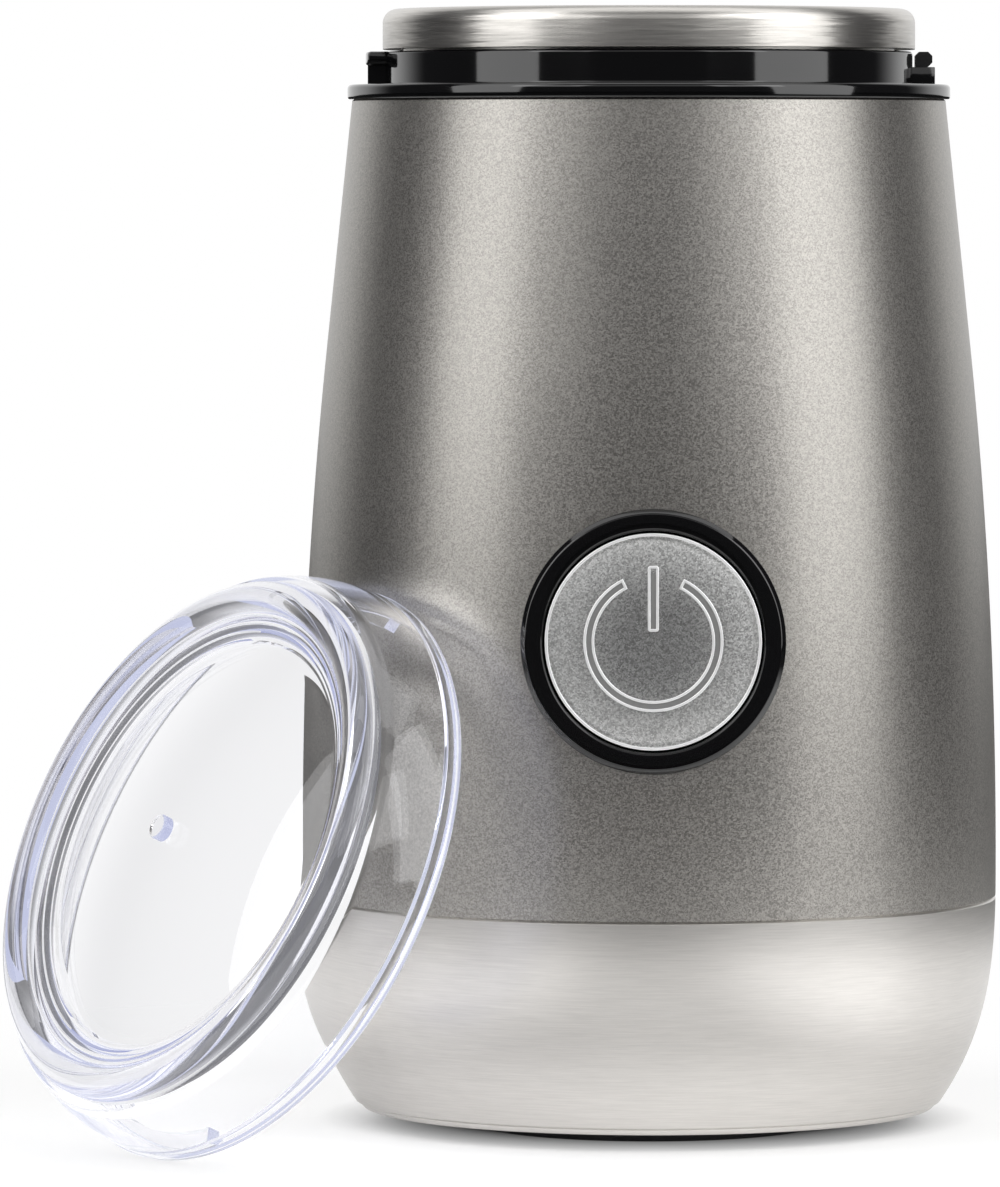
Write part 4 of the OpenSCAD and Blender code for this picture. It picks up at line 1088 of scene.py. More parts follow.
@dataclass
class Collar(SubAssembly):
    """Black collar: cup well, flange, neck, lid lug and interlock guides.

    Attributes:
        neck_top_z: height of the neck's top.
        neck_h: height of the neck above the flange.
        floor_z: height of the well's floor.
        floor_t: thickness of that floor.
        drive_hole_r: radius of the hole in it for the drive.
        spigot_h: how far the collar reaches down into the shell.
        spigot_inset: how far it stands in from the shell's top there.
        lug_t: thickness of the lid lug.
        lug_bevel: bevel of its edges.
        lug_half: half the angle that the lug takes up, in degrees.
        stop_half: half the angle of the stop below it, in degrees.
        stop_inset: how far the stop stands in from the lug's tip.
        root: how far welded pieces reach into the neck.
        sink: how far they reach into the flange.
        pin_w: width of the interlock pin.
        guide_gap: room round the pin.
        post_w: width of the posts beside it.
        post_reach: how far they stand out of the neck.
        post_drop: how far they end below the neck's top.
        post_bevel: bevel of their edges.
        key_w: width of the keys in the well.
        key_depth: how far they stand out of its wall.
        key_h: their height above its floor.
        key_bevel: bevel of their edges.
        key_angles: where they stand, in degrees.
    """

    neck_top_z: float = 154.2
    neck_h: float = 4.7
    floor_z: float = 104.0
    floor_t: float = 3.0
    drive_hole_r: float = 13.5
    spigot_h: float = 4.0
    spigot_inset: float = 2.5
    lug_t: float = 2.0
    lug_bevel: float = 0.45
    lug_half: float = 9.0
    stop_half: float = 2.0
    stop_inset: float = 0.3
    root: float = 0.5
    sink: float = 0.2
    pin_w: float = 3.0
    guide_gap: float = 0.3
    post_w: float = 1.6
    post_reach: float = 3.1
    post_drop: float = 2.2
    post_bevel: float = 0.12
    key_w: float = 5.0
    key_depth: float = 1.8
    key_h: float = 6.0
    key_bevel: float = 0.2
    key_angles: tuple[float, ...] = (60, 180, 300)

    @property
    def flange_z(self) -> float:
        """Height of the flange's upper face."""
        return self.neck_top_z - self.neck_h

    def build(self) -> None:
        """Build the collar and hand it in."""
        self.hand_in(self.collar(), COLLAR_ABS, Body.HOUSING, ["collar"])

    def collar(self) -> bpy.types.Object:
        """Make the turned body, weld on the lug, the posts and the keys, and cut the pin's slot.

        Returns:
            The collar.
        """
        r = self.radii
        under_z = self.curve.top_z
        floor_low_z = self.floor_z - self.floor_t
        spigot_r, spigot_z = r.shell_top - self.spigot_inset, under_z - self.spigot_h
        corners = [
            (self.drive_hole_r, floor_low_z, 0),
            (r.neck, floor_low_z, 0),
            (r.neck, spigot_z, 0),
            (spigot_r, spigot_z, 0),
            (spigot_r, under_z, 0),
            (r.flange, under_z, 0.35),
            (r.flange, self.flange_z, 0.6),
            (r.neck, self.flange_z, 0.25),
            (r.neck, self.neck_top_z, 0.4),
            (r.well, self.neck_top_z, 0.3),
            (r.well, self.floor_z, 0.6),
            (self.drive_hole_r, self.floor_z, 0),
        ]
        collar = revolve("black_collar", rounded(corners), BIG_ROUND_STEPS)
        for part in (self.lug(), *self.posts(), *self.keys()):
            combine(collar, part, Joining.WELD)
        half, margin = self.pin_w / 2 + self.guide_gap, 0.05
        slot_low = (r.neck + margin, -half, spigot_z - 1)
        slot_high = (r.lug + self.guide_gap, half, self.flange_z + margin)
        return combine(collar, block("slot", slot_low, slot_high), Joining.CUT)

    def sector(
        self, name: str, reach: float, low: float, high: float, half: float, bevel: float = 0.0
    ) -> bpy.types.Object:
        """Make a piece of a ring on the left of the neck.

        Args:
            name: the piece's name.
            reach: how far it stands out of the neck.
            low: height of its lower face.
            high: height of its upper face.
            half: half the angle that it takes up, in degrees.
            bevel: width of a bevel on all its edges.

        Returns:
            The new object.
        """
        outer = arc((0, 0), self.radii.neck + reach, 180 - half, 180 + half)
        inner = arc((0, 0), self.radii.neck - self.root, 180 + half, 180 - half)
        return extrude(name, outer + inner, low, high, bevel)

    def lug(self) -> bpy.types.Object:
        """Make the bayonet lug on the left with its narrow stop below.

        Returns:
            The lug.
        """
        reach, top_z = self.radii.lug_reach, self.neck_top_z
        under_z = top_z - self.lug_t
        hook = self.sector("hook", reach, under_z, top_z, self.lug_half, self.lug_bevel)
        low_z, high_z = self.flange_z - self.sink, under_z + 2 * self.sink
        stop = self.sector("stop", reach - self.stop_inset, low_z, high_z, self.stop_half)
        return combine(hook, stop, Joining.WELD)

    def posts(self) -> list[bpy.types.Object]:
        """Make the two posts beside the interlock pin.

        Returns:
            The posts.
        """
        neck, near = self.radii.neck, self.pin_w / 2 + self.guide_gap
        made = []
        for side in Side:
            y = sorted((side.value * near, side.value * (near + self.post_w)))
            low = (neck - self.root, y[0], self.flange_z - self.sink)
            high = (neck + self.post_reach, y[1], self.neck_top_z - self.post_drop)
            made.append(block(f"post{side.value}", low, high, self.post_bevel))
        return made

    def keys(self) -> list[bpy.types.Object]:
        """Make the three keys that hold the cup's base from turning.

        Returns:
            The keys.
        """
        well = self.radii.well
        made = []
        for angle in self.key_angles:
            low = (well - self.key_depth, -self.key_w / 2, self.floor_z - 1)
            high = (well + 1, self.key_w / 2, self.floor_z + self.key_h)
            key = block(f"key{angle}", low, high, self.key_bevel)
            key.data.transform(Matrix.Rotation(math.radians(angle), 4, "Z"))
            made.append(key)
        return made


@dataclass
class Cup(SubAssembly):
    """Drawn steel cup with its rolled rim.

    Attributes:
        top_z: height of the rim.
        rim_h: how far the rim hangs down outside.
        depth: depth of the cup.
        sheet: thickness of its sheet.
        corner_r: fillet between wall and floor.
        crown_r: outer fillet of the rim.
        throat_r: inner fillet of the rim.
        under_r: fillet under the rim, between wall and rim.
        hem_r: fillet at the lower edge of the skirt.
        hole_r: radius of the hole in its floor for the blade's bushing.
    """

    top_z: float = 160.3
    rim_h: float = 5.8
    depth: float = 44.8
    sheet: float = 0.8
    corner_r: float = 8.0
    crown_r: float = 2.0
    throat_r: float = 1.2
    under_r: float = 0.5
    hem_r: float = 0.12
    hole_r: float = 5.55

    def build(self) -> None:
        """Build the cup and hand it in."""
        self.hand_in(self.cup(), CUP_STEEL, Body.CUP, ["grinding_cup"])

    def cup(self) -> bpy.types.Object:
        """Make the cup: skirt, rounded rim, wall, floor, and the same a sheet's thickness below.

        Returns:
            The cup.
        """
        r, sheet = self.radii, self.sheet
        skirt_z = self.top_z - self.rim_h
        floor_z = self.top_z - self.depth
        inside = r.cup - sheet
        corners = [
            (r.rim, skirt_z, self.hem_r),
            (r.rim, self.top_z, self.crown_r),
            (inside, self.top_z, self.throat_r),
            (inside, floor_z, self.corner_r),
            (self.hole_r, floor_z, 0),
            (self.hole_r, floor_z - sheet, 0),
            (r.cup, floor_z - sheet, self.corner_r + sheet),
            (r.cup, self.top_z - sheet, self.under_r),
            (r.rim - sheet, self.top_z - sheet, self.crown_r - sheet),
            (r.rim - sheet, skirt_z, self.hem_r),
        ]
        return revolve("steel_cup", rounded(corners, 10), BIG_ROUND_STEPS)


@dataclass
class Button(SubAssembly):
    """Start button: black bezel, frosted cap with a bright edge and a power symbol.

    Attributes:
        axis: the button's own frame, whose Z points out of the shell.
        rise: height of its centre above the seam.
        bezel_r: outside of the bezel.
        bezel_in_r: inside of the bezel.
        proud: how far the bezel stands out of the shell.
        bezel_lip_r: fillet of its inner edge.
        slope: width and height of the slope at its outer edge.
        slope_r: fillet of that slope's two edges.
        root: how far it is made below its front, before it is cut to the shell's curve.
        seat_gap: room between it and the shell.
        barrel_r: outside of the barrel behind the bezel.
        barrel_z: distances between which the barrel runs, from inside to outside.
        cap_r: radius of the cap.
        cap_proud: how far the cap's middle stands out of the shell.
        cap_t: thickness of the cap.
        crown: how far its face falls towards the edge.
        crown_power: power by which it falls, so that the middle stays nearly flat.
        edge_r: fillet of its edge.
        skirt_h: height of the skirt behind it.
        skirt_t: thickness of that skirt.
        channel_r: middle radius of the symbol's ring.
        channel_w: width of its channels.
        channel_depth: their depth.
        gap_half: half the angle at which the ring is open, in degrees.
        bar_low: height of the bar's lower end above the cap's centre.
        bar_over: how far the bar ends outside the ring.
        line_w: width of the bright lines along the channels.
        line_h: height of all bright lines.
        edge_line_w: width of the line round the cap.
        edge_line_inset: how far its middle stands in from the cap's edge.
        edge_line_sink: how far its middle lies below the top of the face.
    """

    axis: Matrix = field(default_factory=Matrix)
    rise: float = 39.0
    bezel_r: float = 18.4
    bezel_in_r: float = 15.35
    proud: float = 1.0
    bezel_lip_r: float = 0.45
    slope: tuple[float, float] = (0.65, 0.7)
    slope_r: float = 0.4
    root: float = 4.0
    seat_gap: float = 0.03
    barrel_r: float = 16.9
    barrel_z: tuple[float, float] = (-10.35, 0.3)
    cap_r: float = 15.05
    cap_proud: float = 1.3
    cap_t: float = 2.4
    crown: float = 0.8
    crown_power: int = 4
    edge_r: float = 0.4
    skirt_h: float = 3.4
    skirt_t: float = 1.5
    channel_r: float = 8.93
    channel_w: float = 1.15
    channel_depth: float = 0.12
    gap_half: float = 27.0
    bar_low: float = 1.6
    bar_over: float = 1.4
    line_w: float = 0.40
    line_h: float = 0.16
    edge_line_w: float = 0.42
    edge_line_inset: float = 0.24
    edge_line_sink: float = 0.02

    @classmethod
    def axis_on(cls, curve: HousingCurve) -> Matrix:
        """Give the button's own frame, whose centre lies on the shell and whose Z points out.

        Args:
            curve: outer curve of the housing.

        Returns:
            The frame's matrix, in metres.
        """
        z = curve.seam_z + cls.rise
        low_r, high_r = curve.radius(z - cls.bezel_r), curve.radius(z + cls.bezel_r)
        tilt = math.atan((low_r - high_r) / (2 * cls.bezel_r))
        face = Matrix.Translation((0, -(low_r + high_r) / 2 * MM, z * MM))
        return face @ Matrix.Rotation(math.pi / 2 - tilt, 4, "X")

    def build(self) -> None:
        """Build the bezel, the cap and the bright lines."""
        self.hand_in(self.bezel(), COLLAR_ABS, Body.HOUSING, ["button_bezel"])
        self.hand_in(self.cap(), CAP_FROST, Body.BUTTON, ["button_cap"])
        for name, path in self.emblem().items():
            line = self.bright_line(f"emblem_{name}_line", path, self.line_w)
            self.hand_in(line, CAP_LINE, Body.BUTTON)
        edge = arc((0, 0), self.cap_r - self.edge_line_inset, 0, 358, 179)
        line = self.bright_line("cap_edge_line", edge, self.edge_line_w, self.edge_line_sink)
        self.hand_in(line, CAP_LINE, Body.BUTTON)

    def bezel(self) -> bpy.types.Object:
        """Make the ring, seat it on the shell's curve and weld on its barrel.

        Returns:
            The bezel.
        """
        front, inner = self.proud, self.bezel_in_r
        corners = [
            (inner, -self.root, 0),
            (inner, front, self.bezel_lip_r),
            (self.bezel_r - self.slope[0], front, self.slope_r),
            (self.bezel_r, front - self.slope[1], self.slope_r),
            (self.bezel_r, -self.root, 0),
        ]
        ring = revolve("button_ring", rounded(corners))
        ring.data.transform(self.axis)
        low, high = self.curve.seam_z, self.curve.top_z
        seat = [(0, low), *self.curve.line(low, high, 64, -self.seat_gap), (0, high)]
        combine(ring, revolve("seat", seat, BIG_ROUND_STEPS), Joining.CUT)
        deep, shallow = self.barrel_z
        outline = [(inner, deep), (inner, shallow), (self.barrel_r, shallow), (self.barrel_r, deep)]
        barrel = revolve("barrel", outline)
        barrel.data.transform(self.axis)
        return combine(ring, barrel, Joining.WELD)

    def cap(self) -> bpy.types.Object:
        """Make the cap with its skirt, and cut the emblem's channels into its face.

        Returns:
            The cap, in its two finishes.
        """
        front = self.cap_proud
        back = front - self.cap_t
        inner = self.cap_r - self.skirt_t
        corners = [
            (0, back, 0),
            (inner, back, 0),
            (inner, back - self.skirt_h, 0),
            (self.cap_r, back - self.skirt_h, 0),
            (self.cap_r, front - self.crown, self.edge_r),
        ]
        shares = [k / 16 for k in range(15, -1, -1)]
        face = [(self.cap_r * share, front - self.crown * share**self.crown_power) for share in shares]
        cap = revolve("button_cap_frosted", rounded(corners) + face)
        cap.data.materials.append(CAP_FROST.material())
        floor_z = front - self.channel_depth
        for name, path in self.emblem().items():
            channel = extrude(f"channel_{name}", path, floor_z, floor_z + 1)
            channel.data.materials.append(CAP_CHANNEL.material())
            combine(cap, channel, Joining.CUT)
        cap.data.transform(self.axis)
        return cap

    def emblem(self) -> dict[str, list[Point]]:
        """Give the closed outlines of the power symbol's channels.

        Returns:
            The open ring's outline and the upright bar's, by name.
        """
        start, end = 90 + self.gap_half, 450 - self.gap_half
        half = self.channel_w / 2
        outer = arc((0, 0), self.channel_r + half, start, end, 96)
        inner = arc((0, 0), self.channel_r - half, end, start, 96)
        low, high, fillet = self.bar_low, self.channel_r + self.bar_over, 0.2
        bar = [(-half, low, fillet), (half, low, fillet), (half, high, fillet), (-half, high, fillet)]
        return {"ring": outer + inner, "bar": rounded(bar, 3)}

    def bright_line(
        self, name: str, path: Sequence[Point], width: float, sink: float = 0.0
    ) -> bpy.types.Object:
        """Make a bright line that lies on the cap's face.

        Args:
            name: the piece's name.
            path: the closed path that it follows.
            width: the line's width.
            sink: how far its middle lies below the top of the face.

        Returns:
            The line.
        """
        line = tube(name, path, width, self.line_h)
        line.data.transform(self.axis @ Matrix.Translation((0, 0, (self.cap_proud - sink) * MM)))
        return line


@dataclass
class Lid(SubAssembly):
    """Clear lid, modelled with its open end at 0 and its window up, then leant on the housing.

    Attributes:
        lean: how far the lid leans, in degrees from upright.
        turn: how far round to the left it stands, in degrees.
        shift: how far its middle is shifted sideways.
        part_gap: room between it and the housing.
        edge_r: fillet of the bead at its open end.
        bead_h: height of that bead.
        groove_depth: depth of the groove above the bead.
        skirt_bend: power that bends the skirt in towards the top.
        ring_r: radius of the round top ring's section.
        ring_z: height of that ring's centre.
        ring_inset: how far its centre stands in from the cup's rim.
        shoulder_out: how far the shoulder stands out past the ring.
        shoulder_drop: how far it lies below the ring's centre.
        panel_t: thickness of the top.
        panel_drop: how far the window's edge lies below the ring's centre.
        ripples: number of fine ripples round the window.
        ripple_r: radius of a ripple.
        window_inset: how far the window's edge stands in from the ring.
        window_sink: how far the window is let into its edge.
        dome: height of the window's dome.
        nib_r: radius of the gate nib in its middle.
        nib_h: height of that nib.
        lip: how far the lip at the open end stands in.
        rib_half: half the angle that an inner rib takes up, in degrees.
        rib_t: thickness of a rib.
        rib_z: height at which it starts.
        rib_clear: room between a rib and the neck.
    """

    lean: float = 23.8
    turn: float = 53.9
    shift: float = 2.5
    part_gap: float = 0.3
    edge_r: float = 0.45
    bead_h: float = 1.1
    groove_depth: float = 0.3
    skirt_bend: float = 2.4
    ring_r: float = 2.4
    ring_z: float = 13.2
    ring_inset: float = 1.85
    shoulder_out: float = 1.3
    shoulder_drop: float = 0.9
    panel_t: float = 1.9
    panel_drop: float = 0.2
    ripples: int = 4
    ripple_r: float = 0.56
    window_inset: float = 4.0
    window_sink: float = 1.0
    dome: float = 4.2
    nib_r: float = 1.8
    nib_h: float = 1.5
    lip: float = 0.5
    rib_half: float = 19.0
    rib_t: float = 1.9
    rib_z: float = 0.3
    rib_clear: float = 1.2

    @property
    def window_z(self) -> float:
        """Height of the top beside the window."""
        return self.ring_z - self.panel_drop

    def build(self) -> None:
        """Build the lid and hand it in."""
        lid = self.lid()
        lid.data.transform(self.place())
        self.hand_in(lid, LID_PLASTIC, Body.LID, ["lid"])

    def place(self) -> Matrix:
        """Give the matrix that leans the lid against the housing.

        Returns:
            The matrix, in metres.
        """
        lean = math.radians(self.lean)
        edge_c = self.radii.lid + self.radii.lid_bead - self.edge_r
        up = edge_c * math.cos(lean) + self.edge_r * (1 - math.sin(lean))
        touch_z = up + edge_c * math.cos(lean) + self.edge_r * math.sin(lean)
        reach = edge_c * math.sin(lean) + self.edge_r * (1 - math.cos(lean))
        out = self.curve.radius(touch_z) + self.part_gap + reach
        a = math.radians(-90 - self.turn)
        x = out * math.cos(a) + self.shift * math.sin(a)
        y = out * math.sin(a) - self.shift * math.cos(a)
        tip = Matrix.Rotation(math.radians(90 - self.lean), 4, "Y")
        return Matrix.Translation((x * MM, y * MM, up * MM)) @ Matrix.Rotation(a, 4, "Z") @ tip

    def skirt(self) -> list[Point]:
        """Give the skirt's outer curve from the open end up to the shoulder.

        Returns:
            The curve's points.
        """
        outside = self.radii.lid
        bend = outside - (self.radii.rim - self.ring_inset + self.ring_r + self.shoulder_out)
        shoulder_z = self.ring_z - self.shoulder_drop
        return [(outside - bend * (i / 20) ** self.skirt_bend, shoulder_z * i / 20) for i in range(21)]

    def outline(self) -> list[Point]:
        """Give the lid's section: bead, skirt, shoulder, round top ring, recess, dome and bore.

        Returns:
            The section's points.
        """
        r, skirt, window_z = self.radii, self.skirt(), self.window_z
        ceiling = window_z - self.panel_t
        bead, groove = r.lid + r.lid_bead, r.lid - self.groove_depth
        middle = r.rim - self.ring_inset
        ring_out, ring_in = middle + self.ring_r, middle - self.ring_r
        groove_low, groove_high = self.bead_h + 0.2, self.bead_h + 0.8
        shoulder_r, shoulder_z = skirt[-1]

        # Bead, groove, skirt and shoulder.
        outline = arc((bead - self.edge_r, self.edge_r), self.edge_r, -90, 0, 5)
        outline += [(bead, self.bead_h), (groove, groove_low), (groove, groove_high)]
        outline += [point for point in skirt if point[1] > groove_high + 0.1]
        outline += [(shoulder_r - 0.4, shoulder_z + 0.35), (ring_out, self.ring_z - 0.3)]

        # Round top ring, and the ripples that step down from it to the window.
        outline += arc((middle, self.ring_z), self.ring_r, 0, 156, 24)
        for k in range(self.ripples):
            outline += arc((ring_in - 0.5 - k, window_z + 0.5 - 0.5 * k), self.ripple_r, 20, 110, 4)

        # Dome of the window, outside and inside.
        window_r = ring_in - self.window_inset
        crown = self.dome + self.window_sink
        dome_r = (window_r**2 + crown**2) / (2 * crown)
        spread = math.degrees(math.asin(window_r / dome_r))
        centre_z = window_z + self.dome - dome_r
        outline += arc((0, centre_z), dome_r, 90 - spread, 90, 16)
        outline += arc((0, centre_z - self.panel_t), dome_r, 90, 90 - spread, 16)

        # Bore: over the ceiling, down the inside of the skirt and past the lip.
        inside = [(x - r.lid + r.lid_inside, z) for x, z in skirt if z < ceiling - 0.5]
        lip_r, lip_top = r.lid_inside - self.lip, groove_high - 0.1
        outline += [(window_r + 1.0, ceiling - 0.9), (window_r + 1.8, ceiling)]
        outline += [(inside[-1][0] - 0.8, ceiling)]
        outline += reversed([point for point in inside if point[1] > groove_high])
        return outline + [(lip_r, lip_top), (lip_r, self.rib_z), (r.lid_inside - 0.2, 0)]

    def lid(self) -> bpy.types.Object:
        """Make the turned lid, and weld on its two ribs and the gate nib.

        Returns:
            The lid, not yet leant on the housing.
        """
        r, half = self.radii, self.rib_half
        lid = revolve("clear_lid", self.outline(), BIG_ROUND_STEPS)
        for angle in (0, 180):
            outer = arc((0, 0), r.lid_inside + 0.5, angle - half, angle + half, 16)
            inner = arc((0, 0), r.neck + self.rib_clear, angle + half, angle - half, 16)
            rib = extrude(f"rib{angle}", outer + inner, self.rib_z, self.rib_z + self.rib_t)
            combine(lid, rib, Joining.WELD)
        top = self.window_z + self.dome
        low, high = top - 0.5, top + self.nib_h
        corners = [(0, low, 0), (self.nib_r, low, 0), (self.nib_r, high, 0.4), (0, high, 0)]
        return combine(lid, revolve("nib", rounded(corners), 48), Joining.WELD)


# Studio


@dataclass(frozen=True)
class Viewpoint:
    """The camera, whose place and turn follow from the axis, the horizon and the lens.

    Attributes:
        focal_px: focal length, in pixels of the rendered image.
        axis_x_px: column of the image in which the motor's axis stands.
        horizon_y_px: row of the image in which the horizon lies.
        distance: from the axis to the camera.
        height: of the camera above the floor.
        turn: how far it stands round to the left, in degrees.
        sensor_mm: the sensor's size along the longer side of the image.
        clip: nearest and furthest distance that it sees.
    """

    focal_px: float = 9000.0
    axis_x_px: float = 648.5
    horizon_y_px: float = 158.0
    distance: float = 1.293
    height: float = 0.139
    turn: float = 0.8
    sensor_mm: float = 36.0
    clip: tuple[float, float] = (0.05, 50.0)

    def build(self) -> None:
        """Add the camera and make it the scene's own."""
        data = bpy.data.cameras.new("camera")
        data.sensor_width = self.sensor_mm
        data.lens = self.focal_px / IMAGE_HEIGHT * self.sensor_mm
        data.clip_start, data.clip_end = self.clip
        camera = bpy.data.objects.new("camera", data)
        turn = math.radians(-self.turn)
        camera.location = (math.sin(turn) * self.distance, -math.cos(turn) * self.distance, self.height)
        pan = math.atan((self.axis_x_px - IMAGE_WIDTH / 2) / self.focal_px)
        down = math.atan((IMAGE_HEIGHT / 2 - self.horizon_y_px) / self.focal_px)
        camera.rotation_euler = (math.pi / 2 - down, 0, turn + pan)
        bpy.context.scene.collection.objects.link(camera)
        bpy.context.scene.camera = camera


@dataclass(frozen=True)
class Softbox:
    """A lamp behind a square of white cloth, seen from the object.

    Attributes:
        name: the lamp's name.
        azimuth: degrees round from the camera's side, positive to the right.
        elevation: degrees above the object's middle.
        width: across.
        height: up.
        radiance: how bright its face is, where white paper in plain light is 1.
        distance: from the object's middle.
        target_z: height of that middle.
    """

    name: str
    azimuth: float
    elevation: float
    width: float
    height: float
    radiance: float
    distance: float = 0.9
    target_z: float = 0.085

    def build(self) -> None:
        """Add the lamp, facing the object and unseen by the camera."""
        light = bpy.data.lights.new(self.name, "AREA")
        light.shape = "RECTANGLE"
        light.size = self.width
        light.size_y = self.height
        light.energy = self.radiance * math.pi * self.width * self.height
        lamp = bpy.data.objects.new(self.name, light)
        a, e = math.radians(self.azimuth), math.radians(self.elevation)
        back = Vector((math.sin(a) * math.cos(e), -math.cos(a) * math.cos(e), math.sin(e)))
        lamp.location = Vector((0, 0, self.target_z)) + back * self.distance
        lamp.rotation_mode = "QUATERNION"
        lamp.rotation_quaternion = (-back).to_track_quat("-Z", "Y")
        lamp.visible_camera = False
        bpy.context.scene.collection.objects.link(lamp)


# Two tall boxes stand beside the camera, with a small one inside each, a low wide one stands
# over the camera, and one hangs overhead.
SOFTBOXES = (
    Softbox("left_softbox", -64.5, 27, width=0.51, height=0.84, radiance=2.15),
    Softbox("right_softbox", 64, 24, width=0.60, height=0.88, radiance=2.2),
    Softbox("left_fill", -40, 28, width=0.42, height=0.42, radiance=1.7),
    Softbox("right_fill", 38, 28, width=0.42, height=0.42, radiance=1.9),
    Softbox("front_softbox", 0, 30, width=0.90, height=0.36, radiance=0.7),
    Softbox("top_softbox", 0, 88, width=1.3, height=0.6, radiance=1.3, distance=0.8),
)


def direct_sight(tree: bpy.types.NodeTree) -> bpy.types.NodeSocket:
    """Tell whether the camera looks at a place directly or only through clear plastic.

    Args:
        tree: the material's or world's node tree.

    Returns:
        1 for such a ray and 0 for any other, and little for one that was mirrored on its way.
    """
    path = add_node(tree, "ShaderNodeLightPath")
    loss = Fade(0.0, 1.0, top=0.82).along(path.outputs["Glossy Depth"])
    mirrored = add_node(tree, "ShaderNodeMapRange", loss).outputs["Result"]
    pair = {0: path.outputs["Is Transmission Ray"], 1: mirrored}
    through = add_node(tree, "ShaderNodeMath", pair, operation="SUBTRACT", use_clamp=True).outputs[0]
    pair = {0: path.outputs["Is Camera Ray"], 1: through}
    return add_node(tree, "ShaderNodeMath", pair, operation="MAXIMUM").outputs[0]


@dataclass(frozen=True)
class Room:
    """The room: white for the camera, and for the object white behind and dim in front.

    Attributes:
        dim: sRGB hex of the room in front of the object.
        behind: where it turns white, by how far a ray points to the back.
    """

    dim: str = "3e3e40"
    behind: Fade = Fade(0.42, 0.80)

    def build(self) -> None:
        """Make the room the scene's world."""
        world = bpy.data.worlds.new("studio")
        world.use_nodes = True
        bpy.context.scene.world = world
        tree = world.node_tree
        direction = add_node(tree, "ShaderNodeTexCoord").outputs["Generated"]
        back = add_node(tree, "ShaderNodeSeparateXYZ", {0: direction}).outputs["Y"]
        share = add_node(
            tree, "ShaderNodeMapRange", self.behind.along(back), interpolation_type="SMOOTHSTEP"
        ).outputs["Result"]
        walls = {0: share, 6: linear(self.dim), 7: linear(WHITE)}
        colour = add_node(tree, "ShaderNodeMix", walls, data_type="RGBA").outputs[2]
        sights = {0: direct_sight(tree), 6: colour, 7: linear(WHITE)}
        colour = add_node(tree, "ShaderNodeMix", sights, data_type="RGBA").outputs[2]
        tree.links.new(colour, tree.nodes["Background"].inputs["Color"])
        tree.nodes["Background"].inputs["Strength"].default_value = 1.0


